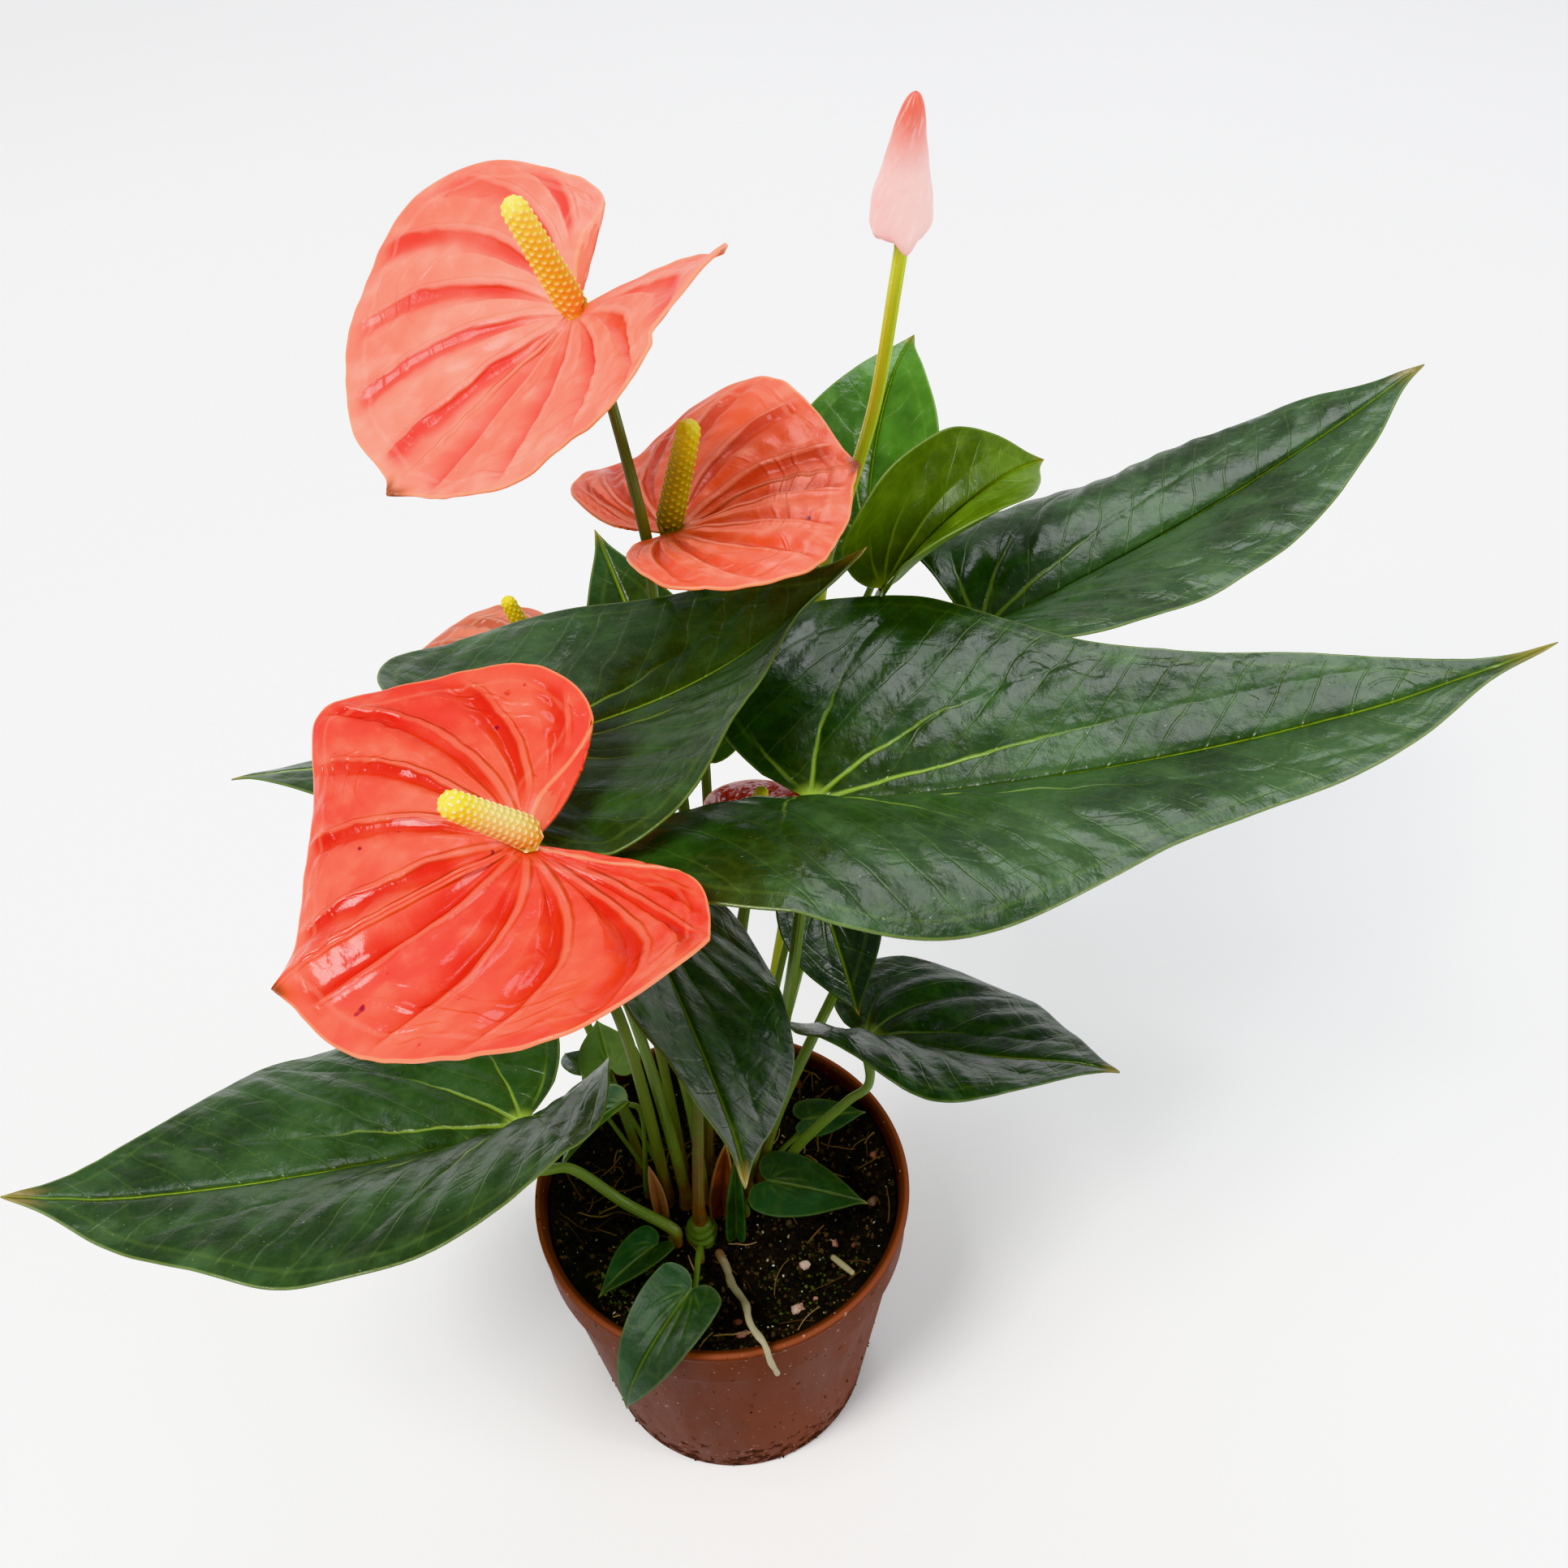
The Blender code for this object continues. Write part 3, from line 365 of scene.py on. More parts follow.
def spline(points, count):
    """Smooth curve through the points, one tangent per point from its neighbours, at count even steps."""
    p = np.asarray(points, float)
    knots = np.concatenate([[0.0], np.cumsum(np.sqrt(np.linalg.norm(np.diff(p, axis=0), axis=1)))])
    slope = np.gradient(p, knots, axis=0)
    at = np.linspace(0.0, knots[-1], count)
    i = np.clip(np.searchsorted(knots, at, side="right") - 1, 0, len(knots) - 2)
    step = (knots[i + 1] - knots[i])[:, None]
    t = (at - knots[i])[:, None] / step
    return (
        (2 * t**3 - 3 * t**2 + 1) * p[i]
        + (t**3 - 2 * t**2 + t) * step * slope[i]
        + (3 * t**2 - 2 * t**3) * p[i + 1]
        + (t**3 - t**2) * step * slope[i + 1]
    )


def half_outline(spec, side):
    """Edge of one half, from the notch round the lobe to the tip.

    With it come the share of its length at each point and at the first point of its outline.
    """
    length, width, lobe = spec["size"]
    skew, lobe_skew, full = spec["lean"]
    width = width * (1 + side * skew)
    lobe = lobe * (1 + side * lobe_skew)
    lobe_points, side_points = OUTLINES[spec["kind"]]
    if "halves" in spec:
        lobe_points, side_points = spec["halves"][0 if side > 0 else 1]
    points = [(0.0, 0.0)]
    points += [(x * lobe, y * width) for x, y in lobe_points]
    for x, y in side_points:
        fuller = full * (x > FULL_FROM) * (FULL_AT_TIP if x > TIP_FROM else 1.0)
        points.append((x * length, y * width * (1 + fuller)))
    points.append((length, 0.0))
    edge = spline(points, EDGE_POINTS)
    run = run_along(edge)
    first = run[np.argmin(np.abs(edge[: EDGE_POINTS // 4, 0] - points[1][0]))] / run[-1]
    return edge * (1, side), run / run[-1], first


def run_along(path):
    """Distance along a path at each of its points."""
    return np.concatenate([[0.0], np.cumsum(np.linalg.norm(np.diff(path, axis=0), axis=1))])


def axes_of(turn):
    """Directions of the midrib, of the left side and of the upper face."""
    heading, pitch, roll = np.radians(turn)
    ahead = np.array(
        [math.cos(pitch) * math.cos(heading), math.cos(pitch) * math.sin(heading), math.sin(pitch)]
    )
    left = np.array([-math.sin(heading), math.cos(heading), 0.0])
    up = np.cross(ahead, left)
    tilted_left = left * math.cos(roll) + up * math.sin(roll)
    tilted_up = up * math.cos(roll) - left * math.sin(roll)
    return np.stack([ahead, tilted_left, tilted_up])


def midrib_angles(x, spec):
    """Climb, sideways swing and twist of the midrib at distance x from the notch."""
    length, _, lobe = spec["size"]
    droop, sway, twist, s_bend, lobe_lift = np.radians(spec["bend"])
    q = np.clip(x / length, 0, 1)
    climb = np.where(x >= 0, s_bend * np.sin(2 * np.pi * q) - droop * q**1.3, lobe_lift * x / lobe)
    return climb, sway * q, twist * q


def bent(flat, spec, height=0.0):
    """The flat points, each at its height above the sheet, carried onto the bent, folded and turned sheet."""
    length, width, lobe = spec["size"]
    fold, tip_fold, curl, left_curl = spec["fold"]
    x, y = flat[..., 0], flat[..., 1]
    run = np.linspace(-1.6 * lobe, 1.02 * length, 181)
    climb, swing, _ = midrib_angles(run, spec)
    along = np.stack([np.cos(climb) * np.cos(swing), np.cos(climb) * np.sin(swing), np.sin(climb)], -1)
    steps = (along[1:] + along[:-1]) / 2 * np.diff(run)[:, None]
    spine = np.concatenate([np.zeros((1, 3)), np.cumsum(steps, axis=0)])
    spine = spine - [np.interp(0.0, run, spine[:, k]) for k in range(3)]
    centre = np.stack([np.interp(x, run, spine[:, k]) for k in range(3)], -1)
    climb, swing, turn = midrib_angles(x, spec)
    along = np.stack([np.cos(climb) * np.cos(swing), np.cos(climb) * np.sin(swing), np.sin(climb)], -1)
    left = np.stack([-np.sin(swing), np.cos(swing), 0 * swing], -1)
    up = np.cross(along, left)
    cosine, sine = np.cos(turn)[..., None], np.sin(turn)[..., None]
    left, up = left * cosine + up * sine, up * cosine - left * sine
    q = np.clip(x / length, 0, 1)
    start = np.radians(fold + (tip_fold - fold) * q)
    bend = np.radians(np.where(y > 0, curl + left_curl, curl - left_curl))
    bend = np.where(np.abs(bend) < 1e-3, 1e-3, bend)
    end = start + bend * np.abs(y) / width
    across = (width * (np.sin(end) - np.sin(start)) / bend - height * np.sin(end)) * np.sign(y)
    rise = width * (np.cos(start) - np.cos(end)) / bend + height * np.cos(end)
    local = centre + left * across[..., None] + up * rise[..., None]
    return place_of(spec) + local @ axes_of(spec["turn"])


def place_of(spec):
    """The notch of a sheet, from the soil's flat or, for a sheet that hangs over the pot, from the rim."""
    x, y, z = spec["at"]
    if spec.get("over_rim"):
        return np.array([x, y - RIM_RADIUS, z + POT_HEIGHT])
    return np.array([x, y, z + SOIL_TOP])


def outer_radius(height):
    """Outside of the pot's body at a height, below the collar's step."""
    top = RIM_RADIUS - RIM_LIP - COLLAR_STEP
    return BASE_RADIUS + (top - BASE_RADIUS) * height / (POT_HEIGHT - COLLAR_HEIGHT)


def inner_radius(height):
    """Inside of the pot at a height."""
    return outer_radius(height) - WALL


def soil_top():
    """Radii and heights of the soil's top, from the edge of its flat to the wall."""
    edge = RIM_RADIUS - WALL - LIP_STEP - 2 * SOIL_CLEARANCE
    radii = FLAT_SOIL_RADIUS + (edge - FLAT_SOIL_RADIUS) * np.array([0.0, 0.25, 0.5, 0.75, 1.0])
    banked = np.array([0.0, 0.0, 0.25, 0.7, 1.0])
    ditch = np.array([0.0, 1.0, 0.4, 0.0, 0.0])
    return radii, SOIL_TOP + SOIL_BANK * banked - SOIL_BUMP * ditch


def stalk_path(base, way, end, direction, back, count):
    """Smooth path that leaves the soil upright and reaches its end along the given direction."""
    start = np.array([base[0], base[1], SOIL_TOP + SEAT_GAP])
    if len(base) == 3:
        start[2] += base[2]
    rise = start + (0.0, 0.0, UPRIGHT_FOOT)
    points = [rise, rise + (0.0, 0.0, 5.0)]
    points += [np.array(p, float) + (0.0, 0.0, SOIL_TOP) for p in way]
    points += [end - direction * back, end]
    return np.concatenate([[start], spline(points, count - 1)])


def unit(vector):
    """The vector at length 1."""
    vector = np.array(vector, float)
    return vector / np.linalg.norm(vector)


# ---- finishes ----

# Veins, or the folds between them, on each half of a sheet
LEAF_VEINS = 4
SPATHE_VEINS = 7
SCALE_VEINS = 4

# The maps of a sheet count in this many millimetres
MAP_SIZE = 100.0

# The side veins of a leaf run back by this share of their distance from the midrib
SWEEP = 0.85


def tint(code):
    """Linear colour from six hexadecimal digits."""
    parts = np.array([int(code[i : i + 2], 16) for i in (0, 2, 4)]) / 255
    return (*np.where(parts > 0.04045, ((parts + 0.055) / 1.055) ** 2.4, parts / 12.92).tolist(), 1.0)


class Finish:
    """A procedural material in the making: each call adds one node and hands back its output."""

    def __init__(self, name, **settings):
        self.made = bpy.data.materials.new(name)
        self.made.use_nodes = True
        self.tree = self.made.node_tree
        self.shader = self.tree.nodes["Principled BSDF"]
        for key, value in settings.items():
            self.feed(self.shader.inputs[key.replace("_", " ")], value)

    def feed(self, socket, value):
        """Links a node's output to a socket, or sets the socket's own value."""
        if isinstance(value, bpy.types.NodeSocket):
            self.tree.links.new(value, socket)
        else:
            socket.default_value = value

    def node(self, kind, values, **options):
        """A new node with its options set and its inputs fed."""
        made = self.tree.nodes.new("ShaderNode" + kind)
        for key, value in options.items():
            setattr(made, key, value)
        for key, value in values.items():
            self.feed(made.inputs[key], value)
        return made

    def place(self):
        return self.node("TexCoord", {}).outputs["Object"]

    def layer(self, name):
        return self.node("UVMap", {}, uv_map=name).outputs[0]

    def parts(self, vector):
        return self.node("SeparateXYZ", {0: vector}).outputs

    def stretch(self, vector, scale):
        return self.node("Mapping", {"Vector": vector, "Scale": scale}).outputs[0]

    def maths(self, operation, *values):
        """Result of one operation on numbers."""
        return self.node("Math", dict(enumerate(values)), operation=operation).outputs[0]

    def times(self, first, second):
        return self.maths("MULTIPLY", first, second)

    def plus(self, first, second):
        return self.maths("ADD", first, second)

    def less(self, first, second):
        return self.maths("SUBTRACT", first, second)

    def rest(self, value):
        """What is left of 1."""
        return self.maths("SUBTRACT", 1.0, value)

    def plain(self, value):
        """The value without its sign."""
        return self.maths("ABSOLUTE", value)

    def loop(self, value):
        """What is left of the value beyond its whole number."""
        return self.maths("FRACT", value)

    def length(self, vector):
        """Length of a vector."""
        return self.node("VectorMath", {0: vector}, operation="LENGTH").outputs[1]

    def span(self, value, low, high, start=0.0, end=1.0):
        """Smooth step of a value from one range to another."""
        values = {"Value": value, "From Min": low, "From Max": high, "To Min": start, "To Max": end}
        return self.node("MapRange", values, interpolation_type="SMOOTHSTEP").outputs[0]

    def noise(self, vector, scale, detail=3.0, rough=0.55):
        values = {"Vector": vector, "Scale": scale, "Detail": detail, "Roughness": rough}
        return self.node("TexNoise", values).outputs[0]

    def cells(self, vector, scale, feature="DISTANCE_TO_EDGE"):
        values = {"Vector": vector, "Scale": scale}
        return self.node("TexVoronoi", values, feature=feature).outputs["Distance"]

    def mix(self, amount, first, second):
        return self.node("Mix", {0: amount, 6: first, 7: second}, data_type="RGBA").outputs[2]

    def bump(self, height, distance, below=None):
        values = {"Height": height, "Distance": distance * MM}
        if below is not None:
            values["Normal"] = below
        return self.node("Bump", values).outputs[0]

    def done(self, colour, roughness, normal):
        self.feed(self.shader.inputs["Base Color"], colour)
        self.feed(self.shader.inputs["Roughness"], roughness)
        self.feed(self.shader.inputs["Normal"], normal)
        return self.made


def sheet_finish(name, look, veins, **settings):
    """Skin of a leaf or a spathe.

    Maps on the sheet give the share of the way along the edge and out from the notch, the flat place, the
    spacing of the ribs, and the distance to the margin, so each line keeps its real width.
    """
    f = Finish(name, **settings)
    share, out, _ = f.parts(f.layer("ribs"))
    flat = f.layer("flat")
    along, aside, _ = f.parts(flat)
    spread, edge, _ = f.parts(f.layer("sizes"))
    veins = float(veins)
    rim = look["rim"] / MAP_SIZE
    rib_wide = look["rib_wide"] / MAP_SIZE

    # One line along each vein, and a one-sided band of shade beside it
    sway = f.times(f.less(f.noise(flat, 6.0, 2.0), 0.5), 0.22)
    turn = f.loop(f.plus(f.times(share, veins), sway))
    signed = f.times(f.maths("DIVIDE", f.less(turn, 0.5), veins), spread)
    apart = f.plain(signed)
    inside = f.span(edge, 0.01, rim)
    wide = f.times(f.span(out, 0.0, 1.0, look["line"][0], look["line"][1]), 1 / MAP_SIZE)
    lines = f.rest(f.span(apart, f.times(wide, 0.3), f.times(wide, 1.2)))
    shown_part = f.times(inside, f.span(out, look["fade"], 0.15, look["line_end"], 1.0))
    lines = f.times(lines, shown_part)
    band = f.rest(f.span(signed, 0.012, 0.105))
    band = f.times(band, f.span(signed, -0.010, 0.014))
    band = f.times(band, f.span(f.noise(flat, 3.0, 2.0), 0.30, 0.55, 0.45, 1.0))
    band = f.times(band, f.times(inside, f.span(out, 0.05, 0.35)))

    # The midrib, the vein near the margin, the side veins and the cross ridges
    rib = f.rest(f.span(f.plain(aside), 0.35 * rib_wide, rib_wide))
    rib = f.times(rib, f.span(along, -0.01, 0.02))
    rib = f.times(rib, f.span(out, 1.0, 0.5, 0.35, 1.0))
    ring = f.plain(f.less(edge, rim))
    ring = f.rest(f.span(ring, 0.002, 0.010))
    sweep = f.less(along, f.times(f.plain(aside), SWEEP))
    sweep = f.plus(sweep, f.times(f.noise(flat, 3.5, 2.0), 0.10))
    side_line = f.plain(f.less(f.loop(f.times(sweep, 7.5)), 0.5))
    side_line = f.times(f.rest(f.span(side_line, 0.01, 0.05)), inside)
    ladder = f.plus(f.times(out, 9.0), f.times(f.noise(flat, 4.0, 1.0), 5.0))
    ladder = f.plain(f.less(f.loop(ladder), 0.5))
    rung = f.times(f.span(ladder, 0.20, 0.04), f.span(f.noise(flat, 5.0, 1.0), 0.44, 0.56))
    rung = f.times(f.times(rung, inside), f.span(out, 0.40, 0.80))

    # The net of fine veins, and drifts of tone from wide to fine
    net = f.cells(f.stretch(flat, (1.0, 1.3, 1.0)), look["net"])
    net_line = f.rest(f.span(net, 0.0, 0.11))
    fine = f.rest(f.span(f.cells(flat, look["net"] * 3.3), 0.0, 0.12))
    broad = f.noise(flat, 2.2, 4.0, 0.6)
    patch = f.noise(flat, 9.0, 5.0, 0.62)
    grain = f.noise(flat, 130.0, 2.0)
    glow = f.rest(f.span(f.length(flat), 0.01, 0.07))
    colour = f.mix(f.span(broad, 0.36, 0.66), tint(look["deep"]), tint(look["light"]))
    colour = f.mix(f.span(patch, 0.48, 0.70, 0.0, look["patchy"]), colour, tint(look["patch"]))
    colour = f.mix(f.times(band, look["band_show"]), colour, tint(look["band"]))
    colour = f.mix(f.times(net_line, look["net_show"]), colour, tint(look["vein"]))
    colour = f.mix(f.times(fine, look["net_show"] * 0.6), colour, tint(look["vein"]))
    colour = f.mix(f.times(side_line, look["side_show"]), colour, tint(look["vein"]))
    colour = f.mix(f.times(ring, look["ring_show"]), colour, tint(look["vein"]))
    colour = f.mix(f.times(glow, look["glow"]), colour, tint(look["rib"]))
    colour = f.mix(f.times(lines, look["vein_show"]), colour, tint(look["vein"]))
    colour = f.mix(f.times(rib, look["rib_show"]), colour, tint(look["rib"]))

    # The margin, its worn stretches, the dry tip and the specks
    margin = f.rest(f.span(edge, 0.003, 0.008))
    colour = f.mix(f.times(margin, look["margin_show"]), colour, tint(look["margin"]))
    worn = f.rest(f.span(edge, 0.01, 0.05))
    worn = f.times(worn, f.span(f.noise(flat, 1.7, 2.0), 0.58, 0.68))
    colour = f.mix(f.times(worn, look["worn"]), colour, tint(look["worn_tint"]))
    end = f.times(f.span(share, 0.955, 0.99), f.span(out, 0.93, 0.985))
    colour = f.mix(f.times(end, look["tip_show"]), colour, tint(look["tip"]))
    speck = f.span(f.noise(flat, look["speck_scale"], 2.0, 0.5), 0.70, 0.76, 0.0, look["specks"])
    colour = f.mix(speck, colour, tint(look["speck_tint"]))

    # Fine relief that the mesh is too coarse for
    rough = f.span(patch, 0.3, 0.7, look["rough"][0], look["rough"][1])
    height = f.times(f.span(net, 0.0, 0.35), look["quilt"])
    height = f.plus(height, f.times(patch, look["quilt"] * 1.2))
    crumple = f.noise(f.stretch(flat, (1.0, 0.6, 1.0)), 24.0, 3.0, 0.5)
    height = f.plus(height, f.times(crumple, look["crumple"] * 2.0))
    height = f.plus(height, f.times(grain, 0.05))
    height = f.plus(height, f.times(lines, look["raised"]))
    height = f.plus(height, f.times(rib, look["raised"] * 1.3))
    height = f.plus(height, f.times(rung, look["raised"] * 0.3))
    side_raised = look["raised"] * 0.35 if look["side_show"] > 0 else 0.0
    height = f.plus(height, f.times(side_line, side_raised))
    height = f.less(height, f.times(fine, 0.12 * look["quilt"]))
    return f.done(colour, rough, f.bump(height, look["relief"]))


LEAF = {
    "deep": "1F3318", "light": "33502A", "patch": "43613A", "patchy": 0.40, "band": "1F3318",
    "band_show": 0.0, "vein": "88A646", "rib": "A6C454", "margin": "8A9E54", "line": (0.9, 0.30),
    "line_end": 0.0, "fade": 0.62, "rib_wide": 0.9, "rim": 5.0, "ring_show": 0.07, "net": 9.0,
    "net_show": 0.03, "side_show": 0.06, "vein_show": 0.80, "rib_show": 0.90, "crumple": 0.40,
    "glow": 0.95, "margin_show": 0.35, "worn": 0.0, "worn_tint": "8C7A3A", "specks": 0.35,
    "speck_tint": "B0B9A8", "speck_scale": 75.0, "rough": (0.25, 0.38), "quilt": 0.20, "raised": -0.5,
    "relief": 0.55, "tip": "9A8448", "tip_show": 0.6,
}
FAR_LEAF = {**LEAF, "vein_show": 0.35, "fade": 0.40, "glow": 0.4, "rib_show": 0.7}
MID_LEAF = {**FAR_LEAF, "deep": "2A5012", "light": "44741E", "patch": "528230", "rib": "86A83C"}
# Painted shade: a darker copy of the leaf colours, with fainter veins, for the leaves that lie in the shade of
# the others
PAINTED_SHADE_LEAF = {
    **LEAF, "deep": "10240C", "light": "1C3616", "vein_show": 0.22, "rib_show": 0.40, "side_show": 0.05,
    "glow": 0.5, "margin_show": 0.15,
}
LEAFLET = {
    **LEAF, "deep": "182E14", "light": "28442A", "patch": "304E34", "vein_show": 0.08, "rib_show": 0.14,
    "side_show": 0.0, "ring_show": 0.0, "glow": 0.0, "margin_show": 0.10, "specks": 0.0,
    "rough": (0.46, 0.58), "tip_show": 0.3,
}
LEAF_BACK = {
    **LEAF, "deep": "35562F", "light": "4C6E3C", "patch": "44683C", "vein": "94AE5A", "rib": "A4BA62",
    "rough": (0.48, 0.60), "specks": 0.0, "raised": 0.6, "net_show": 0.15, "ring_show": 0.2,
}
YOUNG = {
    **LEAF, "deep": "40580F", "light": "587618", "patch": "6C8622", "vein": "93AC3C", "rib": "A8BE46",
    "rough": (0.26, 0.40), "net_show": 0.08, "specks": 0.15,
}
PALE_LEAFLET = {**LEAFLET, "deep": "44602E", "light": "58743C", "patch": "6A8450"}
YOUNG_BACK = {**YOUNG, "deep": "4E6F22", "light": "688A30", "rough": (0.48, 0.58), "raised": 0.6}
DULL = {**LEAF, "deep": "3D5645", "light": "54705A", "patch": "486450", "vein": "83997A", "rib": "8EA27C"}
SPATHE = {
    "deep": "E42C06", "light": "F8643A", "patch": "FF8058", "patchy": 0.35, "band": "B60E00",
    "band_show": 0.9, "vein": "FF8E6C", "rib": "FC7A56", "margin": "F8B880", "line": (1.5, 0.9),
    "line_end": 0.35, "fade": 1.0, "rib_wide": 1.5, "rim": 6.0, "ring_show": 0.22, "net": 6.0,
    "net_show": 0.0, "side_show": 0.0, "vein_show": 0.42, "rib_show": 0.38, "glow": 0.3,
    "margin_show": 0.45, "worn": 0.4, "worn_tint": "8A3A20", "specks": 0.9, "speck_tint": "6A1838",
    "speck_scale": 16.0, "rough": (0.16, 0.28), "quilt": 0.22, "crumple": 0.12, "raised": 0.9,
    "relief": 1.0, "tip": "7E3A1A", "tip_show": 0.85,
}
SALMON = {
    **SPATHE, "deep": "FA7452", "light": "FF9A7C", "patch": "FFB09A", "patchy": 0.45, "band": "DE2606",
    "band_show": 0.95, "vein": "FFAE98", "rib": "FFA088", "margin": "F2B07A", "rough": (0.26, 0.38),
    "specks": 0.0,
}
CORAL = {
    **SPATHE, "deep": "E85C34", "light": "F27C5A", "patch": "F8A080", "patchy": 0.5, "band": "BC2A08",
    "band_show": 0.7, "vein": "F6A486", "rib": "F0967A", "rough": (0.30, 0.44), "worn": 0.8,
}
PINK_BROWN = {
    **CORAL, "deep": "B45A42", "light": "C8765A", "patch": "C27A60", "band": "98442A", "vein": "D8A68C",
    "rib": "CC8C74",
}
# Deep red of an older spathe, darkened further as painted shade for the spathe that lies in the shade under
# the leaves
DARK_RED_PAINTED_SHADE = {
    **SPATHE, "deep": "A81A06", "light": "C0260C", "patch": "CC3818", "band": "8A0E04", "vein": "D8583C",
    "rib": "CC4A30", "specks": 0.0,
}
SPATHE_BACK = {
    **SPATHE, "deep": "D4553A", "light": "DE7A58", "patch": "DA6A48", "band": "D4553A", "vein": "C26044",
    "rib": "C27046", "rough": (0.4, 0.5), "raised": -0.5, "specks": 0.0,
}
SHEATH = {
    **LEAF, "deep": "5A2A18", "light": "8A4A2C", "patch": "A0603A", "vein": "4A2012", "rib": "6E3A20",
    "margin": "C8A070", "rough": (0.40, 0.55), "net_show": 0.1, "specks": 0.2, "glow": 0.0,
    "side_show": 0.0,
}
SHEATH_PALE = {
    **SHEATH, "deep": "A0705A", "light": "C09A78", "patch": "B07A62", "vein": "8A5A42", "rib": "A8806A",
}


def stalk_finish(name, low, high, speck, roughness=0.42):
    """Skin of a stalk: a colour at its foot, another at its top, fine ribs along it, small pale dots."""
    f = Finish(name, Coat_Weight=0.08)
    along, around, _ = f.parts(f.layer("skin"))
    place = f.place()
    streak = f.noise(f.stretch(f.layer("skin"), (3.0, 14.0, 1.0)), 2.0, 3.0)
    mottle = f.noise(place, 260.0, 4.0)
    colour = f.mix(f.span(f.plus(along, f.times(mottle, 0.2)), 0.10, 0.28), tint(low), tint(high))
    colour = f.mix(f.span(streak, 0.45, 0.75, 0.0, 0.35), colour, tint(speck))
    dot = f.span(f.noise(place, 900.0, 1.0), 0.66, 0.74, 0.0, 0.5)
    colour = f.mix(dot, colour, tint(speck))
    ribs = f.maths("SINE", f.times(around, 2 * math.pi * 11))
    height = f.plus(f.times(ribs, 0.35), mottle)
    rough = f.span(mottle, 0.3, 0.7, roughness, roughness + 0.14)
    return f.done(colour, rough, f.bump(height, 0.12))


def spike_finish(name, low, middle, high, dot):
    """Skin of a spike: three colours from its foot to its tip, with paler raised dots."""
    f = Finish(name, Subsurface_Weight=0.12, Subsurface_Scale=0.002)
    along, raised, _ = f.parts(f.layer("dots"))
    place = f.place()
    grain = f.noise(place, 700.0, 3.0)
    colour = f.mix(f.span(along, 0.02, 0.40), tint(low), tint(middle))
    colour = f.mix(f.span(along, 0.55, 0.97), colour, tint(high))
    colour = f.mix(f.span(raised, 0.30, 0.85, 0.0, 0.85), colour, tint(dot))
    colour = f.mix(f.span(grain, 0.55, 0.8, 0.0, 0.20), colour, tint(low))
    return f.done(colour, f.span(grain, 0.3, 0.7, 0.42, 0.6), f.bump(grain, 0.12))


def pot_finish():
    """Satin moulded plastic: soft colour drift, fine grain, a painted highlight on the rim top, painted shade
    inside the lip, and soil marks near the foot.
    """
    f = Finish("terracotta_plastic", Specular_IOR_Level=0.15)
    place = f.place()
    height = f.parts(place)[2]
    drift = f.noise(place, 14.0, 3.0)
    grain = f.noise(place, 1500.0, 2.0)
    dirt = f.noise(place, 210.0, 5.0, 0.7)
    smear = f.noise(f.stretch(place, (1.0, 1.0, 0.25)), 60.0, 4.0, 0.6)
    top = float(POT_CENTRE[2] + POT_HEIGHT) * MM
    colour = f.mix(f.span(drift, 0.35, 0.7), tint("58260E"), tint("66301A"))
    colour = f.mix(f.span(smear, 0.52, 0.74, 0.0, 0.35), colour, tint("743C24"))
    # Painted highlight: the top of the rim is paler, as if lit from above
    colour = f.mix(f.span(height, top - 0.0010, top, 0.0, 0.6), colour, tint("9A5C46"))
    centre = (float(POT_CENTRE[0]) * MM, float(POT_CENTRE[1]) * MM, 0.0)
    flat = f.node("VectorMath", {0: place, 1: centre}, operation="SUBTRACT").outputs[0]
    flat = f.stretch(flat, (1.0, 1.0, 0.0))
    across = f.length(flat)
    wall = float(RIM_RADIUS - WALL) * MM
    collar = top - COLLAR_HEIGHT * MM
    # Painted shade: the inside of the wall above the collar and the inner edge of the lip are darkened, where
    # shade falls inside the pot
    shade = f.times(f.span(across, wall + 0.0008, wall - 0.0002), f.span(height, collar, collar + 0.001))
    colour = f.mix(f.times(shade, 0.75), colour, tint("2A120A"))
    low = f.span(height, 0.030, 0.002)
    marks = f.span(f.plus(dirt, f.times(low, 0.16)), 0.63, 0.70)
    colour = f.mix(f.times(marks, 0.85), colour, tint("2A1A12"))
    fleck = f.span(f.noise(place, 620.0, 1.0), 0.72, 0.76, 0.0, 0.5)
    colour = f.mix(fleck, colour, tint("C9A894"))
    rough = f.plus(f.span(smear, 0.3, 0.7, 0.48, 0.62), f.times(marks, 0.3))
    bumps = f.plus(f.times(grain, 0.25), marks)
    return f.done(colour, rough, f.bump(bumps, 0.10))


def soil_finish(name, dark, light, other):
    """Damp crumbly matter: dark and pale crumbs with fine grit, colour changing from crumb to crumb."""
    f = Finish(name)
    place = f.place()
    crumb = f.node("TexVoronoi", {"Vector": place, "Scale": 420.0}).outputs
    tone = f.parts(crumb["Color"])[0]
    grit = f.noise(place, 900.0, 5.0, 0.7)
    broad = f.noise(place, 60.0, 3.0)
    colour = f.mix(f.span(tone, 0.3, 1.0, 0.0, 0.8), tint(dark), tint(light))
    colour = f.mix(f.span(broad, 0.55, 0.75, 0.0, 0.5), colour, tint(other))
    colour = f.mix(f.span(grit, 0.6, 0.75, 0.0, 0.4), colour, tint(light))
    height = f.less(f.times(grit, 0.8), crumb["Distance"])
    return f.done(colour, f.span(grit, 0.3, 0.7, 0.75, 0.95), f.bump(height, 0.9))


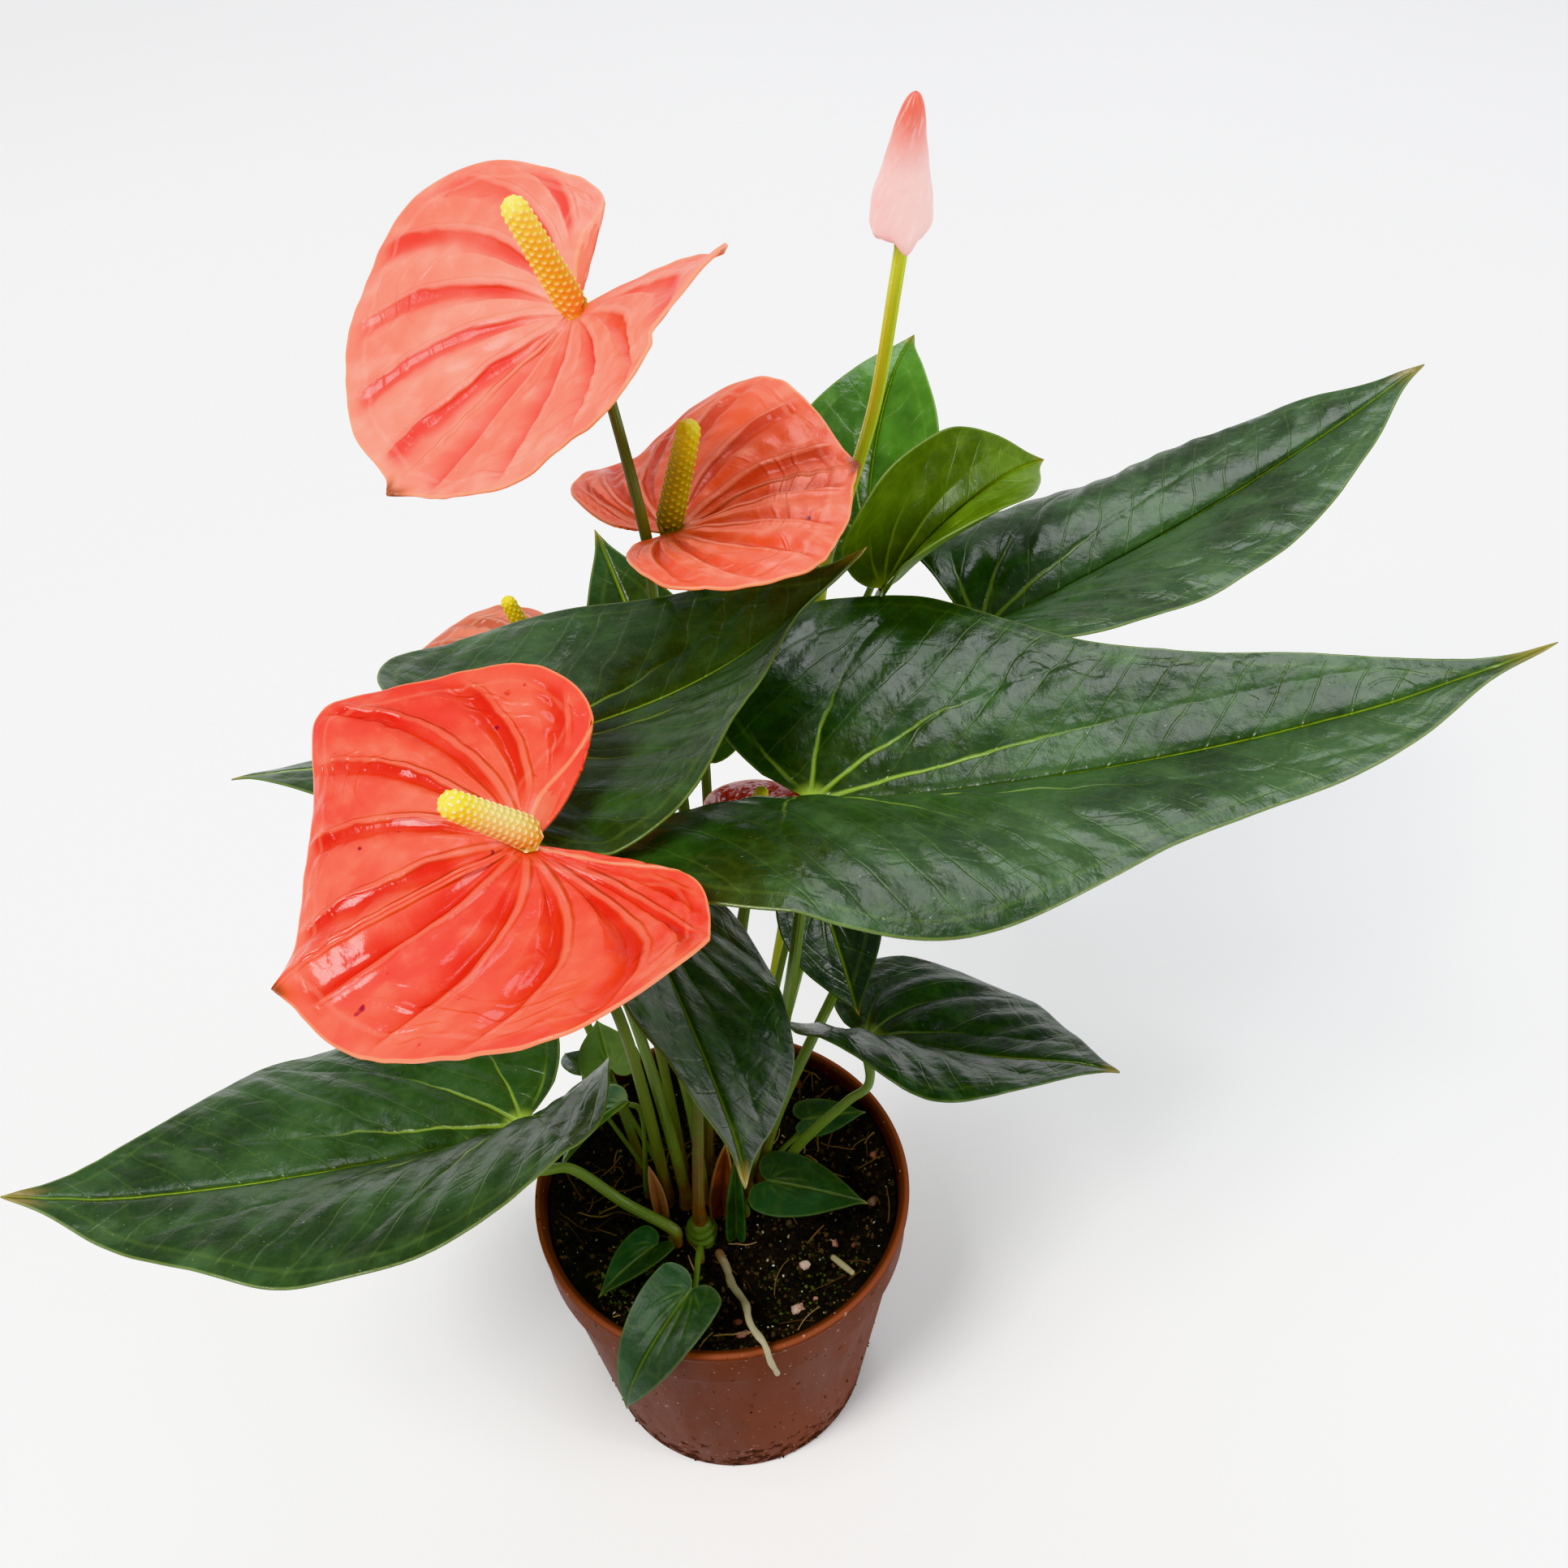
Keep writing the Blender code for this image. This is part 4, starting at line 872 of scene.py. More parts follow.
def grain_finish(name, first, second, third, roughness):
    """Loose bits: each bit has its own tone, with fine grit over it."""
    f = Finish(name)
    tone = f.node("Attribute", {}, attribute_name="tone").outputs["Fac"]
    grit = f.noise(f.place(), 1100.0, 4.0, 0.65)
    colour = f.mix(f.span(tone, 0.0, 0.6), tint(first), tint(second))
    colour = f.mix(f.span(tone, 0.6, 1.0), colour, tint(third))
    colour = f.mix(f.span(grit, 0.5, 0.8, 0.0, 0.5), colour, tint(first))
    return f.done(colour, f.span(grit, 0.3, 0.7, roughness, roughness + 0.15), f.bump(grit, 0.4))


def bud_finish():
    """Rolled young spathe: pale pink at its foot, coral towards its tip, faint lines along it."""
    f = Finish("bud_skin", Subsurface_Weight=0.1, Subsurface_Scale=0.003)
    along, around, _ = f.parts(f.layer("skin"))
    streak = f.noise(f.stretch(f.layer("skin"), (2.0, 9.0, 1.0)), 3.0, 4.0)
    mottle = f.noise(f.place(), 300.0, 3.0)
    reach = f.span(f.plus(along, f.times(streak, 0.45)), 0.62, 1.15)
    colour = f.mix(reach, tint("FACDC8"), tint("F0644A"))
    colour = f.mix(f.span(streak, 0.45, 0.75, 0.0, 0.6), colour, tint("FDE0DC"))
    colour = f.mix(f.span(mottle, 0.62, 0.8, 0.0, 0.2), colour, tint("EE8474"))
    return f.done(colour, f.span(mottle, 0.3, 0.7, 0.28, 0.42), f.bump(streak, 0.25))


def floor_finish():
    """Plain pale floor with a very slight unevenness."""
    f = Finish("pale_floor")
    cloud = f.noise(f.place(), 3.0, 3.0)
    colour = f.mix(cloud, tint("EDEDEE"), tint("F1F1F1"))
    return f.done(colour, f.span(cloud, 0.3, 0.7, 0.75, 0.85), f.bump(f.noise(f.place(), 400.0, 2.0), 0.02))


FINISHES = {
    "leaf": sheet_finish("leaf_face", LEAF, LEAF_VEINS),
    "far_leaf": sheet_finish("far_leaf_face", FAR_LEAF, LEAF_VEINS),
    "mid_leaf": sheet_finish("mid_leaf_face", MID_LEAF, LEAF_VEINS),
    "painted_shade_leaf": sheet_finish("painted_shade_leaf_face", PAINTED_SHADE_LEAF, LEAF_VEINS),
    "leaflet": sheet_finish("leaflet_face", LEAFLET, LEAF_VEINS),
    "pale_leaflet": sheet_finish("pale_leaflet_face", PALE_LEAFLET, LEAF_VEINS),
    "leaf_back": sheet_finish("leaf_back", LEAF_BACK, LEAF_VEINS),
    "young": sheet_finish("young_leaf_face", YOUNG, LEAF_VEINS),
    "young_back": sheet_finish("young_leaf_back", YOUNG_BACK, LEAF_VEINS),
    "dull": sheet_finish("dull_leaf_face", DULL, LEAF_VEINS),
    "front": sheet_finish(
        "spathe_orange_red", SPATHE, SPATHE_VEINS,
        Specular_IOR_Level=0.35, Coat_Weight=0.25, Coat_Roughness=0.1,
    ),
    "top": sheet_finish(
        "spathe_salmon", SALMON, SPATHE_VEINS,
        Specular_IOR_Level=0.35, Coat_Weight=0.1, Coat_Roughness=0.22,
    ),
    "back": sheet_finish("spathe_coral", CORAL, SPATHE_VEINS, Coat_Weight=0.1, Coat_Roughness=0.25),
    "left": sheet_finish(
        "spathe_pink_brown", PINK_BROWN, SPATHE_VEINS, Coat_Weight=0.15, Coat_Roughness=0.25
    ),
    "shaded": sheet_finish("spathe_dark_red_painted_shade", DARK_RED_PAINTED_SHADE, SPATHE_VEINS, Coat_Weight=0.2, Coat_Roughness=0.2),
    "spathe_back": sheet_finish("spathe_underside", SPATHE_BACK, SPATHE_VEINS),
    "sheath": sheet_finish("sheath_red_brown", SHEATH, SCALE_VEINS),
    "sheath_pale": sheet_finish("sheath_tan", SHEATH_PALE, SCALE_VEINS),
    "stalk": stalk_finish("leaf_stalk_skin", "6A3C26", "62783A", "8A9858"),
    "flower_stalk": stalk_finish("flower_stalk_skin", "5E3822", "566428", "747C3E"),
    "bud_stalk": stalk_finish("bud_stalk_skin", "8A9236", "BAC63A", "D0DA74"),
    "knob": stalk_finish("crown_skin", "2E3A16", "4C6226", "66783A", 0.5),
    "spike_top": spike_finish("spike_gold_to_cream", "E8A828", "DDBE34", "ECE04A", "F8EFA8"),
    "spike_front": spike_finish("spike_cream_to_yellow", "D9A63A", "E9DC84", "F2E21C", "FBF4C8"),
    "spike_back": spike_finish("spike_olive_yellow", "6E6A0C", "99900F", "C6BC1E", "CFC54E"),
    "bud": bud_finish(),
    "root": stalk_finish("root_skin", "6E4A34", "968E74", "B4AC92", 0.6),
    "stub": stalk_finish("stub_skin", "7A7250", "A89E7C", "C8C0A4", 0.6),
    "pot": pot_finish(),
    "soil": soil_finish("soil_surface", "060504", "1C1611", "17150E"),
    "crumbs": grain_finish("soil_crumbs", "070504", "2A2119", "5A4A38", 0.8),
    "stones": grain_finish("small_stones", "7A5048", "B08274", "CDB6A6", 0.55),
    "chips": grain_finish("pale_chips", "6A6C54", "A0A088", "DAD6C4", 0.7),
    "moss": grain_finish("moss_tufts", "20280F", "3C4820", "5C6834", 0.8),
    "fibres": grain_finish("root_fibres", "2A1C12", "6E543A", "A48C6A", 0.75),
    "floor": floor_finish(),
}


# ---- mesh making ----


def ripple(x, y, size, seed, terms=9):
    """Uneven height between about -1 and 1: the mean of sine waves of random heading and phase and about one
    wavelength."""
    rng = np.random.default_rng(seed)
    heading = rng.uniform(0, 2 * math.pi, terms)
    phase = rng.uniform(0, 2 * math.pi, terms)
    wave = 2 * math.pi / (size * rng.uniform(0.7, 1.5, terms))
    total = np.sin((x[..., None] * np.cos(heading) + y[..., None] * np.sin(heading)) * wave + phase)
    return total.mean(-1) * 1.8


def shown(name, mesh, finishes, nodes):
    """Puts a mesh in the scene as a piece that rides on the body and stands for CAD nodes."""
    for finish in finishes:
        mesh.materials.append(FINISHES[finish])
    made = bpy.data.objects.new(name, mesh)
    bpy.context.scene.collection.objects.link(made)
    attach(made, "root")
    if nodes:
        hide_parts(*nodes)
    return made


def skin(name, grid, maps):
    """Mesh over a grid of points in millimetres, with its UV maps and smooth shading.

    Points that lie together, as at a seam or a pole, are joined.
    """
    index = np.arange(grid.shape[0] * grid.shape[1]).reshape(grid.shape[:2])
    faces = np.stack([index[:-1, :-1], index[1:, :-1], index[1:, 1:], index[:-1, 1:]], -1).reshape(-1, 4)
    mesh = bpy.data.meshes.new(name)
    mesh.from_pydata(((grid.reshape(-1, 3) + POT_CENTRE) * MM).tolist(), [], faces.tolist())
    for layer, values in maps.items():
        made = mesh.uv_layers.new(name=layer)
        made.data.foreach_set("uv", values.reshape(-1, 2)[faces.reshape(-1)].reshape(-1))
    join_points(mesh, 0.002)
    return mesh


def join_points(mesh, distance):
    """Joins the points of a mesh that lie nearer than the distance, and shades it smooth."""
    work = bmesh.new()
    work.from_mesh(mesh)
    bmesh.ops.remove_doubles(work, verts=work.verts, dist=distance * MM)
    for face in work.faces:
        face.smooth = True
    work.to_mesh(mesh)
    work.free()


def settled(grid, node):
    """The grid moved so that its box and the CAD node's box share their centre."""
    low, high = box_in_mm(node)
    points = grid.reshape(-1, 3)
    return grid + (low + high) / 2 - POT_CENTRE - (points.min(0) + points.max(0)) / 2


def bunched(count, bands):
    """Even shares from 0 to 1, gathered round the middle of each band, where a vein runs."""
    t = np.linspace(0, bands, count)
    band = np.clip(np.floor(t), 0, bands - 1)
    off = 2 * (t - band) - 1
    return (band + 0.5 + 0.5 * np.sign(off) * np.abs(off) ** 1.4) / bands


def edge_distance(points, outline):
    """Distance of each flat point from the nearest stretch of a closed outline."""
    start, end = outline[:-1], outline[1:]
    step = end - start
    square = np.maximum((step**2).sum(-1), 1e-12)
    away = points.reshape(-1, 1, 2) - start[None]
    share = np.clip((away * step).sum(-1) / square, 0, 1)
    gap = away - share[..., None] * step
    return np.sqrt((gap**2).sum(-1).min(1)).reshape(points.shape[:-1])


def fine_sheet(spec, rows, half_columns, veins, bow):
    """Fine grid over the flat sheet, with its maps: vein share, share of the way out, rib spacing, edge gap.

    Each rib runs from the notch to the edge. It bows away from the tip by bow * length * f * (1 - f), where f
    is its share from the notch, so that the veins leave the notch wide and then curve towards the tip. The bow
    dies away at the midrib and at the sinus. Columns crowd at the notch and the edge, rows at the veins.
    """
    share = bunched(rows, veins)
    halves = []
    outline = []
    for side in (1, -1):
        edge, run, first = half_outline(spec, side)
        outline.append(edge[::side])
        u = first + (1 - first) * share
        tip = np.stack([np.interp(u, run, edge[:, 0]), np.interp(u, run, edge[:, 1])], -1)
        reach = np.linalg.norm(tip, axis=1)[:, None, None]
        t = np.linspace(0, 1, half_columns + 1)
        ends = 0.35 * np.sin(2 * math.pi * t) / (2 * math.pi)
        f = (0.8 * t + 0.2 * (1 - (1 - t) ** 3) - ends)[None, :, None]
        aside = np.stack([-tip[:, 1], tip[:, 0]], -1)[:, None] * side
        bend = bow * (np.sin(math.pi * share) ** 0.7)[:, None, None]
        rib = tip[:, None] * f + aside * bend * f * (1 - f)
        across = np.gradient(rib, share, axis=0)
        along = np.gradient(rib, f[0, :, 0], axis=1)
        spread = np.abs(across[..., 0] * along[..., 1] - across[..., 1] * along[..., 0])
        spread = spread / np.maximum(np.linalg.norm(along, axis=-1), 1e-6)
        maps = [share[:, None] + 0 * spread, f[..., 0] + 0 * spread, spread]
        halves.append(np.concatenate([rib, np.stack(maps, -1)], axis=-1))
    whole = np.concatenate([halves[1][:, :0:-1], halves[0]], axis=1)
    distance = edge_distance(whole[..., :2], np.concatenate(outline))
    return whole[..., :2], whole[..., 2], whole[..., 3], whole[..., 4], distance


def relief(spec, flat, share, out, spread, distance, veins, look, seed):
    """Height of the sheet over its smooth shape.

    Between veins the fields are puffed up as the square of a sine. Each vein is a raised or sunken line with
    a trough on its side towards the tip. Low ridges cross the fields near the margin. Creases sweep forward
    from the midrib, and the margin is gently wavy.
    """
    x, y = flat[..., 0], flat[..., 1]
    turn = share * veins
    signed = (turn % 1.0 - 0.5) / veins * spread
    apart = np.abs(signed)
    half_field = np.maximum(spread / veins / 2, 1e-6)
    inside = np.clip(distance / look["rim"], 0, 1)
    started = np.clip(out * 4.0, 0, 1)
    fields = np.sin(np.clip(apart / half_field, 0, 1) * math.pi / 2) ** 2
    height = look["puff"] * fields * started * inside * np.clip(half_field / 4.0, 0, 1)
    line = look["line_high"] * np.exp(-((apart / look["line_wide"]) ** 2))
    line = line - look["trough"] * np.exp(-(((signed - 3.4) / 2.2) ** 2))
    height = height + line * inside * np.clip(half_field / 3.0, 0, 1) * started
    ahead = np.clip(x / 4.0 + 0.3, 0, 1)
    height = height + look["rib_high"] * np.exp(-((y / 1.6) ** 2)) * ahead
    sweep = (x - SWEEP * np.abs(y)) + 2.5 * ripple(x, y, 40.0, seed + 2)
    crease = np.sin(2 * math.pi * sweep / 15.0) * np.clip(np.abs(y) / 12.0, 0, 1)
    height = height + look["crease"] * crease * inside
    height = height + look["wave"] * out**4 * ripple(x, y, 36.0, seed)
    cross = np.sin(2 * math.pi * out * 8.0 + 4.0 * ripple(x, y, 30.0, seed + 3))
    height = height + look["cross"] * cross * np.clip(4 * out - 1.8, 0, 1) * fields * inside
    return height + look["rough"] * ripple(x, y, 9.0, seed + 1) * np.clip(out * 3, 0, 1)


LEAF_RELIEF = {
    "rim": 8.0, "puff": 0.75, "line_high": -0.25, "line_wide": 1.1, "trough": 0.0, "rib_high": -0.5,
    "crease": 0.28, "cross": 0.0, "wave": 0.9, "rough": 0.10,
}
SPATHE_RELIEF = {
    "rim": 7.0, "puff": 1.0, "line_high": 0.9, "line_wide": 1.9, "trough": 1.0, "rib_high": 0.6,
    "crease": 0.0, "cross": 0.32, "wave": 0.9, "rough": 0.30,
}
SCALE_RELIEF = {**LEAF_RELIEF, "puff": 0.2, "crease": 0.0, "wave": 0.5}


SHEET_THICK = {"leaf": 0.6, "spathe": 0.8, "scale": 0.6}

# Rows per vein field and columns each side of the midrib
FINE = {"large": (30, 56), "medium": (20, 34), "small": (11, 18), "spathe": (20, 48)}

SHEET_LOOKS = {
    "leaf_back_right": ("far_leaf", "leaf_back", "leaf"),
    "leaf_upright": ("mid_leaf", "leaf_back", "leaf"),
    "leaf_hanging": ("painted_shade_leaf", "leaf_back", "leaf"),
    "leaf_front_right": ("painted_shade_leaf", "leaf_back", "leaf"),
    "leaf_inner_right": ("painted_shade_leaf", "leaf_back", "leaf"),
    "leaflet_right": ("leaflet", "leaf_back", "leaf"),
    "leaflet_over_rim": ("leaflet", "leaf_back", "leaf"),
    "leaflet_left": ("leaflet", "leaf_back", "leaf"),
    "leaflet_inner": ("leaflet", "leaf_back", "leaf"),
    "leaflet_narrow": ("leaflet", "leaf_back", "leaf"),
    "leaf_young": ("young", "young_back", "young_leaf"),
    "leaflet_light": ("pale_leaflet", "young_back", "young_leaf"),
    "leaflet_grey": ("dull", "leaf_back", "leaf"),
    "leaflet_folded": ("dull", "leaf_back", "leaf"),
    "sheath_red": ("sheath", "sheath", "sheath"),
    "sheath_tan": ("sheath_pale", "sheath_pale", "sheath"),
    "spathe_top": ("top", "spathe_back", "spathe"),
    "spathe_back": ("back", "spathe_back", "spathe"),
    "spathe_front": ("front", "spathe_back", "spathe"),
    "spathe_left": ("left", "spathe_back", "spathe"),
    "spathe_shaded": ("shaded", "spathe_back", "spathe"),
}


def make_sheet(name, seed):
    """A leaf, a spathe or a sheath: the fine bent grid with its relief, and its thickness from Solidify."""
    spec = SHEETS[name]
    kind = spec["kind"]
    veins, bow, look = {
        "leaf": (LEAF_VEINS, 0.42, LEAF_RELIEF),
        "spathe": (SPATHE_VEINS, 0.62, SPATHE_RELIEF),
        "scale": (SCALE_VEINS, 0.2, SCALE_RELIEF),
    }[kind]
    per_vein, half_columns = FINE[spec.get("grid", "large")]
    flat, share, out, spread, distance = fine_sheet(spec, per_vein * veins + 1, half_columns, veins, bow)
    small = min(1.0, spec["size"][1] / 45.0)
    height = small * relief(spec, flat, share, out, spread, distance, veins, look, seed)
    base = bent(flat, spec)
    grid = bent(flat, spec, height) + settled(base, name) - base
    maps = {
        "ribs": np.stack([share, out], -1),
        "flat": flat / MAP_SIZE,
        "sizes": np.stack([spread, distance], -1) / MAP_SIZE,
    }
    face, back, slot = SHEET_LOOKS.get(name, ("leaf", "leaf_back", "leaf"))
    made = shown(f"{name}_fine", skin(name, grid, maps), (face, back), [name])
    solid = made.modifiers.new("thickness", "SOLIDIFY")
    solid.thickness = SHEET_THICK[kind] * MM
    solid.offset = 0.0
    solid.material_offset = 1
    return made


def tube(path, radii, sides, swell=None):
    """Skin round a path, closed by a point at each end.

    Point (i, a) is path(i) + radius(i) * (cos a * side(i) + sin a * rise(i)). Side is the direction square to
    the path's own plane, made square to the path, and rise is square to both.
    """
    path = np.concatenate([path[:1], path, path[-1:]])
    radii = np.concatenate([[0.0], radii, [0.0]])
    along = np.gradient(path, axis=0)
    along = along / np.linalg.norm(along, axis=1)[:, None]
    plane = np.linalg.svd(path - path.mean(0))[2][2]
    side = plane - along * (along @ plane)[:, None]
    side = side / np.linalg.norm(side, axis=1)[:, None]
    rise = np.cross(along, side)
    a = np.linspace(2 * math.pi, 0, sides + 1)[None, :, None]
    ring = np.cos(a) * side[:, None] + np.sin(a) * rise[:, None]
    thick = radii[:, None] * (1 if swell is None else swell)
    steps = run_along(path)
    share = (steps / steps[-1])[:, None] + 0 * a[0].T
    around = a[..., 0] / (2 * math.pi) + 0 * share
    return path[:, None] + ring * thick[..., None], share, around


def rounded(path, radii, rings=4):
    """Path and radii with a dome of a few rings at each end."""
    t = np.linspace(0, math.pi / 2, rings + 1)[1:]
    first = unit(path[0] - path[1])
    last = unit(path[-1] - path[-2])
    start = path[0] + first * radii[0] * np.sin(t[::-1])[:, None]
    end = path[-1] + last * radii[-1] * np.sin(t)[:, None]
    return (
        np.concatenate([start, path, end]),
        np.concatenate([radii[0] * np.cos(t[::-1]), radii, radii[-1] * np.cos(t)]),
    )


def make_tube(name, node, path, radii, finish, sides=24, swell=None):
    """A piece that is one tube, with a map of the share along it and round it."""
    grid, share, around = tube(path, radii, sides, swell)
    maps = {"skin": np.stack([share, around], -1)}
    return shown(name, skin(name, grid, maps), (finish,), [node])


# A leaf's stalk in the CAD model swells to this share of its top radius under the leaf
KNEE = 1.35

# Half the thickness of a CAD spathe
HALF_SPATHE = 0.45

# Stalks reach this far into the soil
STALK_SINK = 2.0


def make_stalk(name):
    """A stalk along the CAD stalk's own path, with a soft knee under its leaf, run on to meet its sheet."""
    spec = STALKS[name]
    sheet = SHEETS[spec["sheet"]]
    low, high = spec["radii"]
    direction = unit(spec.get("arrive", axes_of(sheet["turn"])[2]))
    leaf = sheet["kind"] == "leaf"
    cad_end = joint_end(sheet, direction, high * (KNEE if leaf else 1.0), True)
    crowned = spec["base"] == "crown"
    base = (*CROWN, CROWN_HEIGHT + SEAT_GAP) if crowned else spec["base"]
    path = stalk_path(base, spec.get("way", ()), cad_end, direction, spec.get("back", 14.0), 64)
    count = len(path)
    t = np.linspace(0, 1, count)
    radii = low + (high - low) * np.clip(1.2 * t, 0, 1)
    steps = run_along(path)
    to_top = steps[-1] - steps
    knee = 0.32 if leaf else 0.10
    radii = radii * (1 + knee * np.exp(-(((to_top - 5.0) / 5.0) ** 2)) + 0.22 * np.exp(-((steps / 6.0) ** 2)))
    reach = np.linalg.norm(place_of(sheet) - cad_end)
    tail = path[-1] + unit(place_of(sheet) - path[-1]) * (reach - 0.25) * np.array([[0.5], [0.95]])
    path = np.concatenate([path, tail])
    radii = np.concatenate([radii, [radii[-1], 0.8 * radii[-1]]])
    path[0, 2] -= STALK_SINK
    finish = "flower_stalk" if name.startswith("flower") else "stalk"
    return make_tube(f"{name}_fine", name, path, radii, finish)


def joint_end(spec, direction, radius, under):
    """Centre of a CAD stalk's end just under the notch, or of a spike's base just over it."""
    up = axes_of(spec["turn"])[2]
    tilt = math.sqrt(max(0.0, 1.0 - float(np.dot(direction, up)) ** 2))
    rise = HALF_SPATHE + STALK_GAP + radius * tilt
    if not under:
        rise += radius * math.tan(math.radians(max(0.0, spec["fold"][0])))
    return place_of(spec) + up * (-rise if under else rise)


# Dots round a spike, the space between them along it, their height as a share of its radius, and the share
# of its radius that its foot has
DOT_ROWS = 7
DOT_PITCH = 1.2
DOT_HIGH = 0.12
SPIKE_FOOT = 0.75


def make_spike(name):
    """A blunt rod covered in rows of raised dots.

    At angle a and distance s along the rod, a dot's height is cos(DOT_ROWS * a) * cos(pi * s / DOT_PITCH),
    where that is positive.
    """
    spec = SPIKES[name]
    direction = unit(spec["direction"])
    radius, length = spec["radius"], spec["length"]
    sheet = SHEETS[spec["sheet"]]
    base = joint_end(sheet, direction, radius * SPIKE_FOOT, False)
    rows, sides = 170, 98
    t = np.linspace(0, 1, rows)
    thick = radius * (1.03 - 0.20 * t) * np.minimum(1, 0.86 + 3 * t)
    dome = np.clip((1 - t) * length / (0.9 * radius), 0, 1)
    thick = thick * np.sqrt(1 - (1 - dome) ** 2)
    path = base + direction * length * t[:, None]
    foot = place_of(sheet) + axes_of(sheet["turn"])[2] * 0.2
    path = np.concatenate([[foot], path])
    thick = np.concatenate([[thick[0]], thick])
    a = np.linspace(2 * math.pi, 0, sides + 1)
    s = np.concatenate([[-1.0, -1.0], t * length, [length]])
    dots = np.clip(np.cos(DOT_ROWS * a)[None] * np.cos(math.pi * s / DOT_PITCH)[:, None], 0, 1)
    grid, share, _ = tube(path, thick, sides, 1 + DOT_HIGH * dots**0.8)
    maps = {"dots": np.stack([share, dots], -1)}
    finish = {"spike_top": "spike_top", "spike_front": "spike_front"}.get(name, "spike_back")
    return shown(f"{name}_fine", skin(name, grid, maps), (finish,), [name])


def turned(profile, sides):
    """Profile of (radius, height) turned round Z: point (i, a) is (r cos a, r sin a, h)."""
    a = np.linspace(0, 2 * math.pi, sides + 1)[None, :]
    radius, height = np.array(profile, float).T[..., None]
    return np.stack([radius * np.cos(a), radius * np.sin(a), height + 0 * a], -1)


def softened(profile, radius, steps=4):
    """Profile with each inner corner rounded by a curve through points radius away from the corner."""
    p = np.array(profile, float)
    before, corner, after = p[:-2], p[1:-1], p[2:]
    back, ahead = before - corner, after - corner
    back_length = np.linalg.norm(back, axis=1)[:, None]
    ahead_length = np.linalg.norm(ahead, axis=1)[:, None]
    start = corner + back / back_length * np.minimum(radius, 0.45 * back_length)
    end = corner + ahead / ahead_length * np.minimum(radius, 0.45 * ahead_length)
    t = np.linspace(0, 1, steps)[None, :, None]
    arc = (1 - t) ** 2 * start[:, None] + 2 * t * (1 - t) * corner[:, None] + t**2 * end[:, None]
    return np.concatenate([p[:1], arc.reshape(-1, 2), p[-1:]])


def make_pot():
    """Thin-walled tapered pot with its collar, lip and drain holes."""
    collar = POT_HEIGHT - COLLAR_HEIGHT
    profile = [
        (0.0, FLOOR),
        (inner_radius(FLOOR), FLOOR),
        (inner_radius(collar), collar - 1.0),
        (inner_radius(collar) + 0.6, collar + 2.0),
        (RIM_RADIUS - WALL - LIP_STEP, POT_HEIGHT - 1.4),
        (RIM_RADIUS - WALL - 0.9, POT_HEIGHT),
        (RIM_RADIUS - 0.5, POT_HEIGHT),
        (RIM_RADIUS, POT_HEIGHT - 0.6),
        (RIM_RADIUS, POT_HEIGHT - 2.6),
        (RIM_RADIUS - 0.6, POT_HEIGHT - 3.4),
        (RIM_RADIUS - RIM_LIP, collar + 0.8),
        (outer_radius(collar) + 0.2, collar),
        (outer_radius(collar - 3.0), collar - 3.0),
        (BASE_RADIUS + 0.2, 1.2),
        (BASE_RADIUS - 1.0, 0.0),
        (0.0, 0.0),
    ]
    grid = turned(softened(profile, 0.8), 192)
    mesh = skin("pot", grid, {})
    made = shown("pot_fine", mesh, ("pot",), ["pot"])
    a = (np.arange(DRAIN_COUNT) + 0.56) * 2 * math.pi / DRAIN_COUNT
    work = bmesh.new()
    for angle in a:
        place = POT_CENTRE + (DRAIN_CIRCLE * math.cos(angle), DRAIN_CIRCLE * math.sin(angle), 0.0)
        bmesh.ops.create_cone(
            work, cap_ends=True, segments=32, radius1=DRAIN_RADIUS * MM, radius2=DRAIN_RADIUS * MM,
            depth=4 * FLOOR * MM, matrix=Matrix.Translation(Vector(place * MM)),
        )
    holes_mesh = bpy.data.meshes.new("holes")
    work.to_mesh(holes_mesh)
    work.free()
    holes = bpy.data.objects.new("holes", holes_mesh)
    bpy.context.scene.collection.objects.link(holes)
    cut = made.modifiers.new("drain", "BOOLEAN")
    cut.solver = "EXACT"
    cut.object = holes
    bpy.context.view_layer.update()
    finished = bpy.data.meshes.new_from_object(made.evaluated_get(bpy.context.evaluated_depsgraph_get()))
    made.modifiers.clear()
    made.data = finished
    bpy.data.objects.remove(holes)
    finished.set_sharp_from_angle(angle=math.radians(40))
    return made


def soil_height(radius, x, y):
    """Top of the soil at a place: the CAD soil's banked profile with lumps of three sizes."""
    lumps = 0.7 * ripple(x, y, 11.0, 5) + 0.5 * ripple(x, y, 4.5, 6) + 0.25 * ripple(x, y, 2.0, 7)
    return np.interp(radius, *soil_top()) + lumps


def make_soil():
    """Lumpy soil top, closed by the side and the bottom of the plug of soil."""
    edge = soil_top()[0][-1]
    low = FLOOR + SOIL_CLEARANCE
    radius = np.concatenate([np.linspace(0, edge, 90), [edge, inner_radius(low) - SOIL_CLEARANCE, 0.0]])
    a = np.linspace(0, 2 * math.pi, 241)[None, :]
    x, y = radius[:, None] * np.cos(a), radius[:, None] * np.sin(a)
    height = soil_height(radius[:, None] + 0 * a, x, y)
    height[:90] = np.where(radius[:90, None] == 0, SOIL_TOP, height[:90])
    height[90] = height[89] - 3.0
    height[91:] = low
    grid = np.stack([x, y, height], -1)
    return shown("soil_fine", skin("soil", grid, {}), ("soil",), ["soil"])


